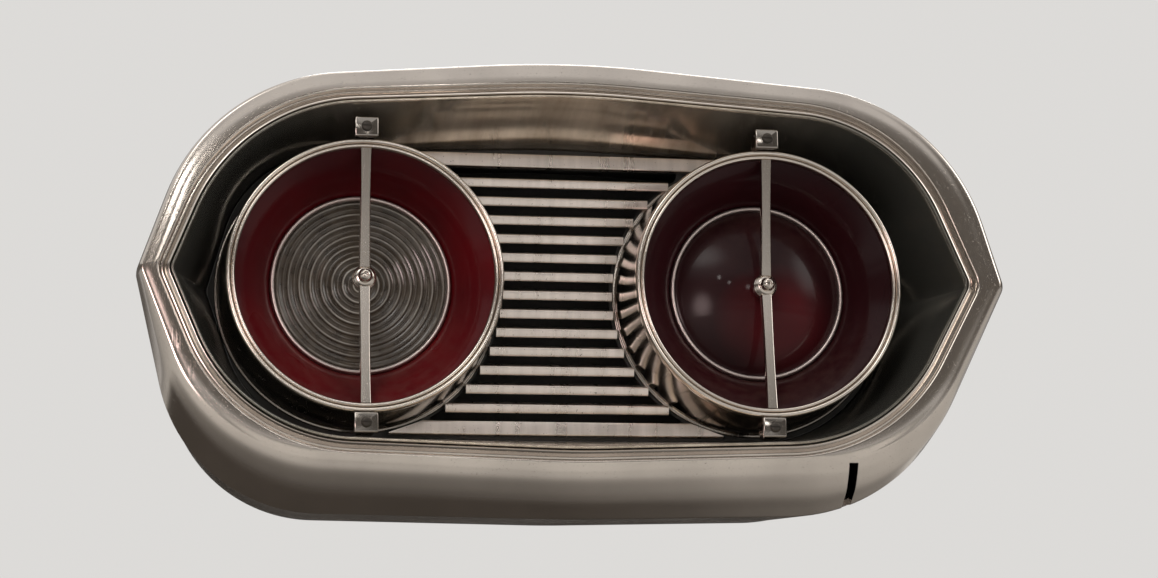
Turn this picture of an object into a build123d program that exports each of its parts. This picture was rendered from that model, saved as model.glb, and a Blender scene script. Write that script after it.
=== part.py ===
from build123d import *
from math import cos, pi, sin
import os

# Twin round tail lamp cluster for the right rear corner of a car, in millimetres.
# X runs to the car's right, Y forwards and Z up. The lamps face backwards, along -Y.
# Y = 0 is the face of the body that the gasket lies on, and the origin is the
# centre of the four mounting studs. Depths are counted backwards from that face,
# so a depth of 50 is Y = -50.

# Overall depths
gasket_t = 3.0
flange_t = 3.0
housing_depth = 48.0
panel_t = 2.0
barrel_length = 42.0
rim_reach = 12.0
shoulder_reach = 9.0
skirt_reach = 18.0
fit = 0.2

flange_front = gasket_t
flange_back = gasket_t + flange_t
panel_back = housing_depth + panel_t
ring_depth = panel_back + barrel_length
rim_depth = ring_depth + rim_reach

# Lamps: two barrels side by side, each flaring a little to a foot on the panel
lamp_spacing = 194.4
barrel_mouth_r = 65.5
barrel_flare = 2.0
barrel_wall = 2.5
barrel_foot = 1.5
barrel_foot_t = 2.0

lamp_centres = {"inner": -lamp_spacing / 2, "outer": lamp_spacing / 2}
barrel_root_r = barrel_mouth_r + barrel_flare
barrel_foot_r = barrel_root_r + barrel_foot

# Outlines of the pod, each a closed shape of eight corners seen from behind: the two
# pointed tips, the middle of the top and of the bottom, and four rounded shoulders.
# The first four columns say how far the outline stands out, left, right, above and
# below, beyond the row before it. The first row starts from the feet of the barrels.
# The others are how far the shoulders lie below the top and above the bottom, how far
# they stand in from the tips (upper left, upper right, lower left, lower right), and
# their radii in the same order.
outline_columns = (
    "left", "right", "top", "bottom", "crown", "sag",
    "in_ul", "in_ur", "in_ll", "in_lr", "r_ul", "r_ur", "r_ll", "r_lr",
)
outline_rows = {
    "panel": (3.8, 9.8, 6.0, 2.5, 6, 1, 20, 30, 24, 34, 56, 60, 58, 66),
    "opening": (19.0, 19.0, 14.5, 12.0, 10, 5, 32, 33, 33, 42, 86, 78, 80, 84),
    "rim": (14.0, 17.5, 17.0, 12.0, 14, 7, 33, 27, 34, 46, 92, 92, 80, 84),
    "shoulder": (0.8, 2.5, 0.8, 12.5, 14, 5, 33, 28, 29, 51, 92, 94, 78, 88),
    "skirt": (0.2, 1.0, 0.2, 6.0, 14, 3, 33, 29, 25, 56, 92, 96, 76, 90),
    "flange": (-7.0, -11.0, -4.0, -6.5, 12, 3, 31, 28, 26, 52, 88, 92, 72, 84),
}
outline_depths = {
    "panel": housing_depth,
    "opening": rim_depth,
    "rim": rim_depth,
    "shoulder": rim_depth - shoulder_reach,
    "skirt": rim_depth - skirt_reach,
    "flange": flange_back,
}
tip_z = -0.5
tip_r = 7.0
crown_r = 500.0

# Bezel and liner
bezel_wall = 3.0
bezel_face_t = 8.0
bezel_edge_r = 6.5
groove_in = 3.0
groove_w = 1.8
groove_deep = 1.8
notch_in = 81.5
notch_w = 4.5
notch_h = 26.0
liner_wall = 1.5
liner_lip = 0.8
tray_wall = 2.5

# Louvres
louvre_count = 13
louvre_pitch = 9.35
louvre_h = 4.6
louvre_edge_r = 1.0
louvre_length = 11.0
louvre_tilt = 14.0
louvre_middle = 0.7
window_gap = 7.2
window_in = 35.0
ledge_h = 6.8
ledge_reach = 4.5
ledge_in = 15.0

# Studs
stud_r = 3.0
stud_head_r = 6.0
stud_head_t = 4.0
stud_length = 22.0
stud_neck_r = 3.8
stud_gap = 3.5
stud_spacing_x = 150.0
gasket_hole_gap = 0.8
gasket_in = 2.0

# Ring and lenses, all turned about the lamp's axis
ring_in = 4.5
ring_out = 0.2
ring_t = 4.0
bead_foot = 1.8
bead_facets = 6
lens_depth = 24.0
lens_centre_r = 43.5
lens_lip = 2.0
lens_t = 3.5
lens_bow = 1.6
trim_w = 2.4
trim_t = 2.6
fresnel_pitch = 4.0
fresnel_rise = 1.3
dome_rise = 12.0

# Guard bars, hub and clips
bar_w = 5.4
bar_ridge_w = 2.4
bar_t = 3.2
bar_dip = 6.0
hub_r = 5.8
hub_t = 7.0
hub_bevel = 1.0
neck_t = 2.0
cap_r = 3.4
clip_w = 11.4
clip_t = 2.6
clip_reach = 10.0
clip_corner_r = 1.0
lug_w = 8.0
lug_length = 12.0
lug_slope = 4.0
screw_r = 1.5
screw_head_r = 2.6
screw_head_t = 1.6
screw_length = 9.0

# Reflector, bulb and bulb holder
reflector_gap = 1.8
reflector_neck_r = 16.0
reflector_bulge = 12.0
reflector_t = 1.2
holder_r = 13.0
holder_step = 1.0
holder_flange_r = 18.0
holder_flange_t = 2.0
holder_length = 26.0
holder_inside = 6.0
bulb_base_r = 7.5
bulb_base_length = 18.0
bulb_r = 12.0
bulb_rise = 7.0
bulb_belt = 7.0

# Places that follow from the sizes
lens_face = ring_depth - lens_depth
lens_back = lens_face - lens_t
ring_front = ring_depth + ring_t
ring_r0 = barrel_mouth_r - ring_in
ring_r1 = barrel_mouth_r + ring_out
ring_mid = (ring_r0 + ring_r1) / 2
clip_start = ring_r1 + fit
clip_end = barrel_mouth_r + clip_reach
lug_end = clip_end - clip_corner_r / 2
screw_at = (clip_start + clip_end) / 2
bar_depth = ring_depth + fit
hub_depth = bar_depth - bar_dip
hub_back = hub_depth - hub_t / 2
hub_front = hub_depth + hub_t / 2
holder_end = flange_back + holder_inside


def stacked_outlines():
    """Adds each row to the one before and returns the outlines by name."""
    reach = {
        "left": lamp_spacing / 2 + barrel_foot_r,
        "right": lamp_spacing / 2 + barrel_foot_r,
        "top": barrel_foot_r,
        "bottom": barrel_foot_r,
    }
    found = {}
    for name, row in outline_rows.items():
        values = dict(zip(outline_columns, row))
        for side in reach:
            reach[side] += values[side]
            values[side] = reach[side]
        found[name] = values
    return found


outlines = stacked_outlines()
stud_spacing_z = 2 * (outlines["panel"]["top"] + liner_wall + stud_gap + stud_head_r)
stud_places = GridLocations(stud_spacing_x, stud_spacing_z, 2, 2)
lamp_places = Locations(*((x, 0) for x in lamp_centres.values()))


def pod_outline(name, grow=0.0, depth=None):
    """One rounded outline of the pod on its own plane, larger by grow all round."""
    o = outlines[name]
    points = [
        (-o["left"], tip_z),
        (-o["left"] + o["in_ul"], o["top"] - o["crown"]),
        (0, o["top"]),
        (o["right"] - o["in_ur"], o["top"] - o["crown"]),
        (o["right"], tip_z),
        (o["right"] - o["in_lr"], -o["bottom"] + o["sag"]),
        (0, -o["bottom"]),
        (-o["left"] + o["in_ll"], -o["bottom"] + o["sag"]),
    ]
    radii = [tip_r, o["r_ul"], crown_r, o["r_ur"], tip_r, o["r_lr"], crown_r, o["r_ll"]]
    depth = outline_depths[name] if depth is None else depth
    with BuildSketch(Plane.XZ.offset(depth)) as face:
        with BuildLine():
            Polyline(*points, close=True)
        make_face()
        for point, radius in zip(points, radii):
            fillet(face.vertices().sort_by_distance(Vector(*point))[0], radius)
        if grow:
            offset(amount=grow, mode=Mode.REPLACE)
    return face.sketch


def lamp_plane(side):
    """A plane through a lamp's axis: its x is the radius and its y is the depth."""
    return Plane(origin=(lamp_centres[side], 0, 0), x_dir=(1, 0, 0), z_dir=(0, 0, -1))


def upright_plane(side, up):
    """The upright plane through a lamp's axis: its x runs up, or down, and its y is the depth."""
    return Plane(origin=(lamp_centres[side], 0, 0), x_dir=(0, 0, up), z_dir=(up, 0, 0))


def lamp_axis(side):
    return Axis((lamp_centres[side], 0, 0), (0, 1, 0))


def turned(side, points):
    """A piece turned about a lamp's axis from a closed profile of (radius, depth)."""
    with BuildPart() as piece:
        with BuildSketch(lamp_plane(side)):
            with BuildLine():
                Polyline(*points, close=True)
            make_face()
        revolve(axis=lamp_axis(side))
    return piece


def finish(piece, name, colour):
    """Labels a finished piece and writes it."""
    piece.part.label = name
    piece.part.color = Color(colour)
    export_step(piece.part, f"parts/{name}.step")


os.makedirs("parts", exist_ok=True)

# Bezel: the chromed shell, with a rounded rim, a groove round the opening, a skirt that
# rolls down over a shoulder below the rim, and a notch near the outer end
bezel_outer = [pod_outline(name) for name in ("flange", "skirt", "shoulder", "rim")]
bezel_inner = [
    pod_outline("flange", -bezel_wall),
    pod_outline("skirt", -bezel_wall),
    pod_outline("shoulder", -bezel_wall, outline_depths["shoulder"] - bezel_wall / 2),
    pod_outline("rim", -bezel_wall, rim_depth - bezel_face_t),
]
opening = pod_outline("opening", fit)
groove_outer = pod_outline("opening", groove_in + groove_w)
groove_inner = pod_outline("opening", groove_in)
skirt_low = -outlines["skirt"]["bottom"]
with BuildPart() as bezel:
    loft(sections=bezel_outer, ruled=True)
    fillet(bezel.faces().sort_by(Axis.Y)[0].outer_wire().edges(), bezel_edge_r)
    loft(sections=bezel_inner, ruled=True, mode=Mode.SUBTRACT)
    extrude(opening, amount=-bezel_face_t - 1, mode=Mode.SUBTRACT)
    extrude(groove_outer - groove_inner, amount=-groove_deep, mode=Mode.SUBTRACT)
    with BuildSketch(Plane.XZ.offset(rim_depth)):
        with Locations((outlines["skirt"]["right"] - notch_in, skirt_low + notch_h / 2)):
            Rectangle(notch_w, notch_h)
    extrude(amount=-skirt_reach - bezel_wall, mode=Mode.SUBTRACT)
finish(bezel, "bezel", "lightgray")


# Recess liner: the polished walls between the rim and the panel
liner_front = rim_depth + liner_lip
with BuildPart() as recess_liner:
    loft(
        sections=[pod_outline("panel", liner_wall), pod_outline("opening", 0, liner_front)],
        ruled=True,
    )
    loft(
        sections=[pod_outline("panel"), pod_outline("opening", -liner_wall, liner_front)],
        ruled=True,
        mode=Mode.SUBTRACT,
    )
finish(recess_liner, "recess_liner", "gray")


# Louvre panel: a plate with a window between the two barrels, crossed by louvres that
# slope down towards the back of the car, and a flat ledge above and below them
louvre_span = louvre_pitch * (louvre_count - 1)
louvre_low = louvre_middle - louvre_span / 2
window_top = louvre_middle + louvre_span / 2 + window_gap
window_bottom = louvre_low - window_gap
window_half_w = lamp_spacing / 2 - window_in
ledge_half_w = lamp_spacing / 2 - ledge_in


def window(plane, grow):
    """The window's shape: a block cut back by the feet of both barrels."""
    with BuildSketch(plane) as shape:
        with Locations((0, (window_top + window_bottom) / 2)):
            Rectangle(2 * window_half_w + 2 * grow, window_top - window_bottom + 2 * grow)
        with lamp_places:
            Circle(barrel_foot_r + 1 - grow, mode=Mode.SUBTRACT)
    return shape.sketch


plate_plane = Plane.XZ.offset(housing_depth)
with BuildPart() as louvres:
    for i in range(louvre_count):
        with BuildSketch(Plane.YZ):
            with Locations(Location((-panel_back, louvre_low + i * louvre_pitch), louvre_tilt)):
                RectangleRounded(louvre_length, louvre_h, louvre_edge_r)
        extrude(amount=window_half_w + 2, both=True)
    extrude(
        window(plate_plane.offset(-louvre_length), 0.4),
        amount=3 * louvre_length,
        mode=Mode.INTERSECT,
    )

with BuildPart() as louvre_panel:
    extrude(pod_outline("panel", -fit), amount=panel_t)
    extrude(window(plate_plane, 0), amount=panel_t, mode=Mode.SUBTRACT)
    with BuildSketch(plate_plane):
        with lamp_places:
            Circle(barrel_root_r - barrel_wall)
    extrude(amount=panel_t, mode=Mode.SUBTRACT)
    with BuildSketch(plate_plane.offset(panel_t)):
        with Locations((0, window_top + ledge_h / 2), (0, window_bottom - ledge_h / 2)):
            Rectangle(2 * ledge_half_w, ledge_h)
        with lamp_places:
            Circle(barrel_foot_r + 1, mode=Mode.SUBTRACT)
    extrude(amount=ledge_reach)
    add(louvres.part)
finish(louvre_panel, "louvre_panel", "dimgray")


# Lamp housing: a tray behind the panel, closed towards the body, on a wide flange
with BuildPart() as lamp_housing:
    extrude(pod_outline("flange", 0, flange_front), amount=flange_t)
    extrude(pod_outline("panel", liner_wall, flange_front), amount=housing_depth - flange_front)
    extrude(
        pod_outline("panel", liner_wall - tray_wall, flange_back),
        amount=housing_depth - flange_back,
        mode=Mode.SUBTRACT,
    )
    with BuildSketch(Plane.XZ.offset(flange_front)):
        with lamp_places:
            Circle(holder_r + fit)
        with stud_places:
            Circle(stud_neck_r + fit)
    extrude(amount=flange_t, mode=Mode.SUBTRACT)
finish(lamp_housing, "lamp_housing", "darkgray")


# Gasket between the flange and the body, open in the middle
with BuildPart() as housing_gasket:
    extrude(pod_outline("flange", -gasket_in, 0), amount=gasket_t)
    extrude(pod_outline("panel", 0, 0), amount=gasket_t, mode=Mode.SUBTRACT)
    with BuildSketch(Plane.XZ):
        with stud_places:
            Circle(stud_neck_r + gasket_hole_gap)
    extrude(amount=gasket_t, mode=Mode.SUBTRACT)
finish(housing_gasket, "housing_gasket", "black")


# Mounting studs: a head behind the flange, a neck as long as the flange and the gasket
# are thick, and the thinner shank that goes through the body
with BuildPart() as mounting_studs:
    with BuildSketch(Plane.XZ.offset(flange_back)):
        with stud_places:
            Circle(stud_head_r)
    extrude(amount=stud_head_t)
    with BuildSketch(Plane.XZ.offset(flange_back)):
        with stud_places:
            Circle(stud_neck_r)
    extrude(amount=-flange_back)
    with BuildSketch(Plane.XZ):
        with stud_places:
            Circle(stud_r)
    extrude(amount=-stud_length)
finish(mounting_studs, "mounting_studs", "silver")


def barrel_inside_r(depth):
    """The barrel's inner radius at a depth."""
    share = (depth - panel_back) / barrel_length
    return barrel_root_r - barrel_flare * share - barrel_wall


def bead(r_from, r_to, foot, top):
    """The points of a rounded bead from one radius to another, counted without its last."""
    middle = (r_from + r_to) / 2
    half = (r_from - r_to) / 2
    points = []
    for i in range(bead_facets):
        angle = pi * i / bead_facets
        points.append((middle + half * cos(angle), foot + (top - foot) * sin(angle)))
    return points


for side, x in lamp_centres.items():
    screw_places = Locations((x, screw_at), (x, -screw_at))

    # Barrel: a tube with a foot on the panel, and a lug above and below for the clips
    with BuildPart() as barrel:
        with BuildSketch(lamp_plane(side)):
            with BuildLine():
                Polyline(
                    (barrel_mouth_r, ring_depth),
                    (barrel_root_r, panel_back + barrel_foot_t),
                    (barrel_foot_r, panel_back + barrel_foot_t),
                    (barrel_foot_r, panel_back),
                    (barrel_root_r - barrel_wall, panel_back),
                    (barrel_mouth_r - barrel_wall, ring_depth),
                    close=True,
                )
            make_face()
        revolve(axis=lamp_axis(side))
        for up in (1, -1):
            with BuildSketch(upright_plane(side, up)):
                with BuildLine():
                    Polyline(
                        (barrel_mouth_r - barrel_wall / 2, ring_front - lug_length - lug_slope),
                        (lug_end, ring_front - lug_length),
                        (lug_end, ring_front),
                        (ring_r1 + fit, ring_front),
                        (ring_r1 + fit, ring_depth),
                        (barrel_mouth_r - barrel_wall / 2, ring_depth),
                        close=True,
                    )
                make_face()
            extrude(amount=lug_w / 2, both=True)
        with BuildSketch(Plane.XZ.offset(ring_front)):
            with screw_places:
                Circle(screw_r)
        extrude(amount=-screw_length, mode=Mode.SUBTRACT)
    finish(barrel, f"barrel_{side}", "gray")

    # Ring: two beads with a fine groove between them, over the barrel's mouth
    ring = turned(side, [
        (ring_r0, ring_depth),
        (ring_r1, ring_depth),
        *bead(ring_r1, ring_mid, ring_depth + bead_foot, ring_front),
        *bead(ring_mid, ring_r0, ring_depth + bead_foot, ring_front - fit),
    ])
    finish(ring, f"ring_{side}", "lightgray")

    # Lens: a red funnel, a little bowed, from the ring down to the centre lens
    lens_r = barrel_mouth_r - barrel_wall - fit
    with BuildPart() as lens:
        with BuildSketch(lamp_plane(side)):
            with BuildLine():
                mouth = (lens_r - lens_lip, ring_depth)
                throat = (lens_centre_r, lens_face)
                middle_r = (mouth[0] + throat[0]) / 2
                middle_depth = (ring_depth + lens_face) / 2
                ThreePointArc(mouth, (middle_r - lens_bow, middle_depth + lens_bow / 2), throat)
                Polyline(
                    throat,
                    (lens_centre_r, lens_back),
                    (lens_centre_r + lens_lip, lens_back),
                    (lens_r, ring_depth - lens_t),
                    (lens_r, ring_depth),
                    mouth,
                )
            make_face()
        revolve(axis=lamp_axis(side))
    finish(lens, f"lens_{side}", "darkred")

    # Trim: the thin bright ring round the centre lens
    trim = turned(side, [
        (lens_centre_r - trim_w, lens_face),
        (lens_centre_r, lens_face),
        (lens_centre_r, lens_face + trim_t / 2),
        (lens_centre_r - trim_w / 3, lens_face + trim_t),
        (lens_centre_r - trim_w, lens_face + trim_t / 2),
    ])
    finish(trim, f"lens_trim_{side}", "lightgray")

    # Hub: a collar with a neck and a round cap, where the guard bars meet
    with BuildPart() as hub:
        with BuildSketch(lamp_plane(side)):
            with BuildLine():
                Polyline(
                    (0, hub_front + neck_t + cap_r),
                    (0, hub_back),
                    (hub_r - hub_bevel, hub_back),
                    (hub_r, hub_back + hub_bevel),
                    (hub_r, hub_front - hub_bevel),
                    (hub_r - hub_bevel, hub_front),
                    (cap_r, hub_front),
                    (cap_r, hub_front + neck_t),
                )
                RadiusArc((cap_r, hub_front + neck_t), (0, hub_front + neck_t + cap_r), -cap_r)
            make_face()
        revolve(axis=lamp_axis(side))
    finish(hub, f"hub_{side}", "lightgray")

    # Guard bars: ridged bars from the ring in to the hub, dipping towards the lens
    with BuildPart() as guard_bars:
        for up in (1, -1):
            sections = []
            for z, depth in ((hub_r - bar_w / 2, hub_depth), (ring_r0 + fit, bar_depth)):
                with BuildSketch(Plane.XY.offset(up * z), mode=Mode.PRIVATE) as section:
                    with BuildLine():
                        Polyline(
                            (x - bar_w / 2, -depth),
                            (x + bar_w / 2, -depth),
                            (x + bar_w / 2, -depth - bar_t / 2),
                            (x + bar_ridge_w / 2, -depth - bar_t),
                            (x - bar_ridge_w / 2, -depth - bar_t),
                            (x - bar_w / 2, -depth - bar_t / 2),
                            close=True,
                        )
                    make_face()
                sections.append(section.sketch)
            loft(sections=sections, ruled=True)
        with BuildSketch(Plane.XZ.offset(hub_back)):
            with Locations((x, 0)):
                Circle(ring_r0)
                Circle(hub_r, mode=Mode.SUBTRACT)
        extrude(amount=ring_front - hub_back, mode=Mode.INTERSECT)
    finish(guard_bars, f"guard_bars_{side}", "lightgray")

    # Clips: flat tabs on the lugs, just outside the ring
    with BuildPart() as clips:
        with BuildSketch(Plane.XZ.offset(ring_front)):
            for up in (1, -1):
                with Locations((x, up * (clip_start + clip_end) / 2)):
                    RectangleRounded(clip_w, clip_end - clip_start, clip_corner_r)
            with screw_places:
                Circle(screw_r + fit, mode=Mode.SUBTRACT)
        extrude(amount=clip_t)
    finish(clips, f"clips_{side}", "lightgray")

    # Screws that hold the clips to the lugs
    with BuildPart() as clip_screws:
        with BuildSketch(Plane.XZ.offset(ring_front + clip_t)):
            with screw_places:
                Circle(screw_head_r)
        extrude(amount=screw_head_t)
        with BuildSketch(Plane.XZ.offset(ring_front + clip_t)):
            with screw_places:
                Circle(screw_r)
        extrude(amount=-clip_t - screw_length)
    finish(clip_screws, f"clip_screws_{side}", "silver")

    # Reflector: a thin bowl round the bulb, inside the barrel and the panel
    reflector_depth = lens_back - lens_lip
    reflector_r = barrel_inside_r(reflector_depth) - reflector_gap
    waist_r = (reflector_r + reflector_neck_r) / 2 + reflector_bulge
    waist_depth = (reflector_depth + holder_end) / 2
    reflector = turned(side, [
        (reflector_r, reflector_depth),
        (waist_r, waist_depth - reflector_bulge / 2),
        (reflector_neck_r, holder_end),
        (reflector_neck_r - reflector_t, holder_end),
        (reflector_neck_r - reflector_t, holder_end + reflector_t),
        (waist_r - reflector_t, waist_depth - reflector_bulge / 2 + reflector_t),
        (reflector_r - reflector_t, reflector_depth),
    ])
    finish(reflector, f"reflector_{side}", "silver")

    # Bulb holder: its flange lies on the front of the housing, its end carries the bulb
    bulb_holder = turned(side, [
        (0, holder_end),
        (holder_r, holder_end),
        (holder_r, flange_front),
        (holder_flange_r, flange_front),
        (holder_flange_r, flange_front - holder_flange_t),
        (holder_r - holder_step, flange_front - holder_flange_t),
        (holder_r - holder_step, -holder_length),
        (0, -holder_length),
    ])
    finish(bulb_holder, f"bulb_holder_{side}", "darkgray")

    # Bulb: a metal cap with a round glass
    glass_start = holder_end + bulb_base_length
    bulb_end = glass_start + 2 * bulb_rise + bulb_belt
    bulb = turned(side, [
        (0, holder_end),
        (bulb_base_r, holder_end),
        (bulb_base_r, glass_start),
        (bulb_r, glass_start + bulb_rise),
        (bulb_r, bulb_end - bulb_rise),
        (bulb_base_r, bulb_end),
        (0, bulb_end),
    ])
    finish(bulb, f"bulb_{side}", "white")

# Centre lens of the inner lamp: clear, with steps in rings about its middle
centre_r = lens_centre_r - fit
step_r = lens_centre_r - trim_w - fit
steps = [(0, lens_back), (centre_r, lens_back), (centre_r, lens_face), (step_r, lens_face)]
while step_r > fresnel_pitch:
    steps.append((step_r - fresnel_pitch * 0.75, lens_face + fresnel_rise))
    step_r -= fresnel_pitch
    steps.append((step_r, lens_face))
steps.append((0, lens_face + fresnel_rise))
centre_lens_inner = turned("inner", steps)
finish(centre_lens_inner, "centre_lens_inner", "whitesmoke")

# Centre lens of the outer lamp: a red dome
dome_r = lens_centre_r - trim_w - fit
sphere_r = (dome_r ** 2 + dome_rise ** 2) / (2 * dome_rise)
with BuildPart() as centre_lens_outer:
    with BuildSketch(lamp_plane("outer")):
        with BuildLine():
            Polyline(
                (0, lens_face + dome_rise),
                (0, lens_back),
                (centre_r, lens_back),
                (centre_r, lens_face),
                (dome_r, lens_face),
            )
            RadiusArc((dome_r, lens_face), (0, lens_face + dome_rise), -sphere_r)
        make_face()
    revolve(axis=lamp_axis("outer"))
finish(centre_lens_outer, "centre_lens_outer", "darkred")
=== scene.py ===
# %% [markdown]
# # Twin round tail lamps in a chromed pod
# This lesson dresses an exact CAD assembly for a studio picture. The assembly is the tail
# lamp cluster from the right rear corner of a car of the 1950s: a chromed bezel round a deep
# recess, a louvred panel, and two round lamps, each with a red lens and an upright guard bar.
# The CAD model fixes every size. Each step below takes its sizes from it, makes a finer
# surface for one piece, and gives that piece a finish.
#
# The first cell loads the CAD model. Its box is kept, because a dressed piece has to stay
# inside the size of the real one.

# %% Load the CAD frame
import math
from functools import partial

import bmesh
import bpy
from mathutils import Matrix, Vector


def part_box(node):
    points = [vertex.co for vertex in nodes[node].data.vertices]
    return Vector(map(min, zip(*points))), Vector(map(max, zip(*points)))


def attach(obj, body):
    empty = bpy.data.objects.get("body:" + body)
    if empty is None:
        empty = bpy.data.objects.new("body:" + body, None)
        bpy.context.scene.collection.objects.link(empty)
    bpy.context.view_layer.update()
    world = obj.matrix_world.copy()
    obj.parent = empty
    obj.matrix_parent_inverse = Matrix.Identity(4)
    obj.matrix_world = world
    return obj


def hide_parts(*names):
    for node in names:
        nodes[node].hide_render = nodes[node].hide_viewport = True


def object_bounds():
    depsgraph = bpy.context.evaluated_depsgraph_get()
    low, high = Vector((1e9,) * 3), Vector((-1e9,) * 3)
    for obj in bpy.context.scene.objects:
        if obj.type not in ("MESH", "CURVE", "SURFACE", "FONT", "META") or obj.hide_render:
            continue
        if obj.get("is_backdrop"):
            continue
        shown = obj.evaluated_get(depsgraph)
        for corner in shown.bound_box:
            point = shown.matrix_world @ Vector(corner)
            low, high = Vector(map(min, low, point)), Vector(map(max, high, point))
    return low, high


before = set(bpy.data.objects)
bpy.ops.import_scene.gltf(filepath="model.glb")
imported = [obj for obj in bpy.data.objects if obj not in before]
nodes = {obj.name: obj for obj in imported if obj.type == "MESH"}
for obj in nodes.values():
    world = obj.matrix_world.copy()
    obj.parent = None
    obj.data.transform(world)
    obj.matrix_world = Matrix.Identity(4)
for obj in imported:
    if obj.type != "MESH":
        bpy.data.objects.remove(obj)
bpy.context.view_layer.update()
scene = bpy.context.scene
mm = 0.001

# %% [markdown]
# Depths are easier to read than Y here. The lamps face backwards along -Y, and the face of
# the body is at Y = 0, so a depth is how far a point stands out from the body. The next cell
# reads a CAD node's box as an axis, a radius and two depths.


# %% Read sizes from the frame
def measured(node):
    """A CAD node's box: where its middle is, its radius across X, and its two depths."""
    low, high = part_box(node)
    return {
        "x": (low.x + high.x) / 2,
        "r": (high.x - low.x) / 2,
        "back": -high.y,
        "front": -low.y,
        "low": low,
        "high": high,
    }


sides = ("inner", "outer")
rings = {side: measured(f"ring_{side}") for side in sides}
lenses = {side: measured(f"lens_{side}") for side in sides}
lamp_x = {side: rings[side]["x"] for side in sides}
lamp_spacing = lamp_x["outer"] - lamp_x["inner"]
print("lamps", round(lamp_spacing / mm, 1), "mm apart, ring radius", round(rings["inner"]["r"] / mm, 1))

# %% [markdown]
# ## Shader groups
# Old plating isn't a plain mirror. It has fine pits where the chrome has let go, hairline
# scratches from polishing, and a faint haze. These marks are the same on the bezel, the
# rings and the louvres, and differ only in strength. So they are built once, as a node group
# with named inputs, and each material places the group with its own values.
#
# A group like this puts out masks and a height. The shader itself stays in the material.


# %% Small helpers for node trees
def add_node(tree, kind, inputs=None, **settings):
    """Adds a node. An input that is a socket is linked, and any other value is set."""
    node = tree.nodes.new(kind)
    for key, value in settings.items():
        setattr(node, key, value)
    for key, value in (inputs or {}).items():
        if isinstance(value, bpy.types.NodeSocket):
            tree.links.new(value, node.inputs[key])
        else:
            node.inputs[key].default_value = value
    return node


def maths(operation, a, b=0.0):
    """One Math node, in the tree of whichever of its two inputs is a socket."""
    tree = next(v for v in (a, b) if isinstance(v, bpy.types.NodeSocket)).id_data
    return add_node(tree, "ShaderNodeMath", {0: a, 1: b}, operation=operation).outputs[0]


plus, minus = partial(maths, "ADD"), partial(maths, "SUBTRACT")
times, over = partial(maths, "MULTIPLY"), partial(maths, "DIVIDE")


def ramp(value, low, high):
    """Turns the part of a value from low to high into 0 to 1, and clamps it."""
    sockets = {"Value": value, "From Min": low, "From Max": high}
    return add_node(value.id_data, "ShaderNodeMapRange", sockets).outputs["Result"]


def blend(mask, first, second):
    """Mixes two colours by a mask."""
    tree = mask.id_data
    node = add_node(tree, "ShaderNodeMix", data_type="RGBA")
    colour_sockets = [s for s in node.inputs if s.type == "RGBA"]
    for socket, value in ((node.inputs["Factor"], mask), *zip(colour_sockets, (first, second))):
        if isinstance(value, bpy.types.NodeSocket):
            tree.links.new(value, socket)
        elif socket.type == "RGBA":
            socket.default_value = (*value, 1.0)
        else:
            socket.default_value = value
    return [s for s in node.outputs if s.type == "RGBA"][0]


def noise(vector, scale, detail=2.0):
    sockets = {"Vector": vector, "Scale": scale, "Detail": detail}
    return add_node(vector.id_data, "ShaderNodeTexNoise", sockets).outputs[0]


def shader_group(name, inputs, outputs):
    """An empty shader node group with named sockets."""
    tree = bpy.data.node_groups.new(name, "ShaderNodeTree")
    for label, kind in inputs:
        tree.interface.new_socket(label, in_out="INPUT", socket_type="NodeSocket" + kind)
    for label in outputs:
        tree.interface.new_socket(label, in_out="OUTPUT", socket_type="NodeSocketFloat")
    return tree, tree.nodes.new("NodeGroupInput").outputs, tree.nodes.new("NodeGroupOutput").inputs


# %% [markdown]
# Specks are the bright ends of a fine noise, cut off by a threshold. A hairline is a contour
# line of a second noise: where the noise is almost exactly one half, the line runs. The
# pattern is stretched first, so that its contours become long and thin. A third noise breaks
# the lines up. The haze is a large soft noise.


# %% Group: worn plating
def worn_plating_group():
    tree, given, result = shader_group(
        "worn plating",
        [("Vector", "Vector"), ("Speck scale", "Float"), ("Speck amount", "Float"),
         ("Scratch scale", "Float"), ("Scratch amount", "Float"), ("Haze scale", "Float")],
        ["Specks", "Scratches", "Haze", "Height"],
    )
    fine = noise(given["Vector"], given["Speck scale"], 3.0)
    specks = times(ramp(fine, 0.66, 0.74), given["Speck amount"])
    total = 0.0
    for turn in ((0.3, 0.2, 0.9), (-0.8, 0.4, -0.5)):
        stretched = add_node(
            tree, "ShaderNodeMapping",
            {"Vector": given["Vector"], "Rotation": turn, "Scale": (1.0, 0.2, 0.06)},
        ).outputs[0]
        contour = noise(stretched, given["Scratch scale"], 4.0)
        away = maths("ABSOLUTE", minus(contour, 0.5))
        line = minus(1.0, ramp(away, 0.0, 0.004))
        broken = ramp(noise(given["Vector"], 90.0), 0.5, 0.62)
        total = plus(times(line, broken), total)
    scratches = times(total, given["Scratch amount"])
    haze = ramp(noise(given["Vector"], given["Haze scale"], 5.0), 0.35, 0.7)
    deep = plus(specks, times(scratches, 0.4))
    for name, value in (("Specks", specks), ("Scratches", scratches), ("Haze", haze)):
        tree.links.new(value, result[name])
    tree.links.new(minus(1.0, deep), result["Height"])
    return tree


worn_plating = worn_plating_group()
print("built", worn_plating.name)
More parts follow.
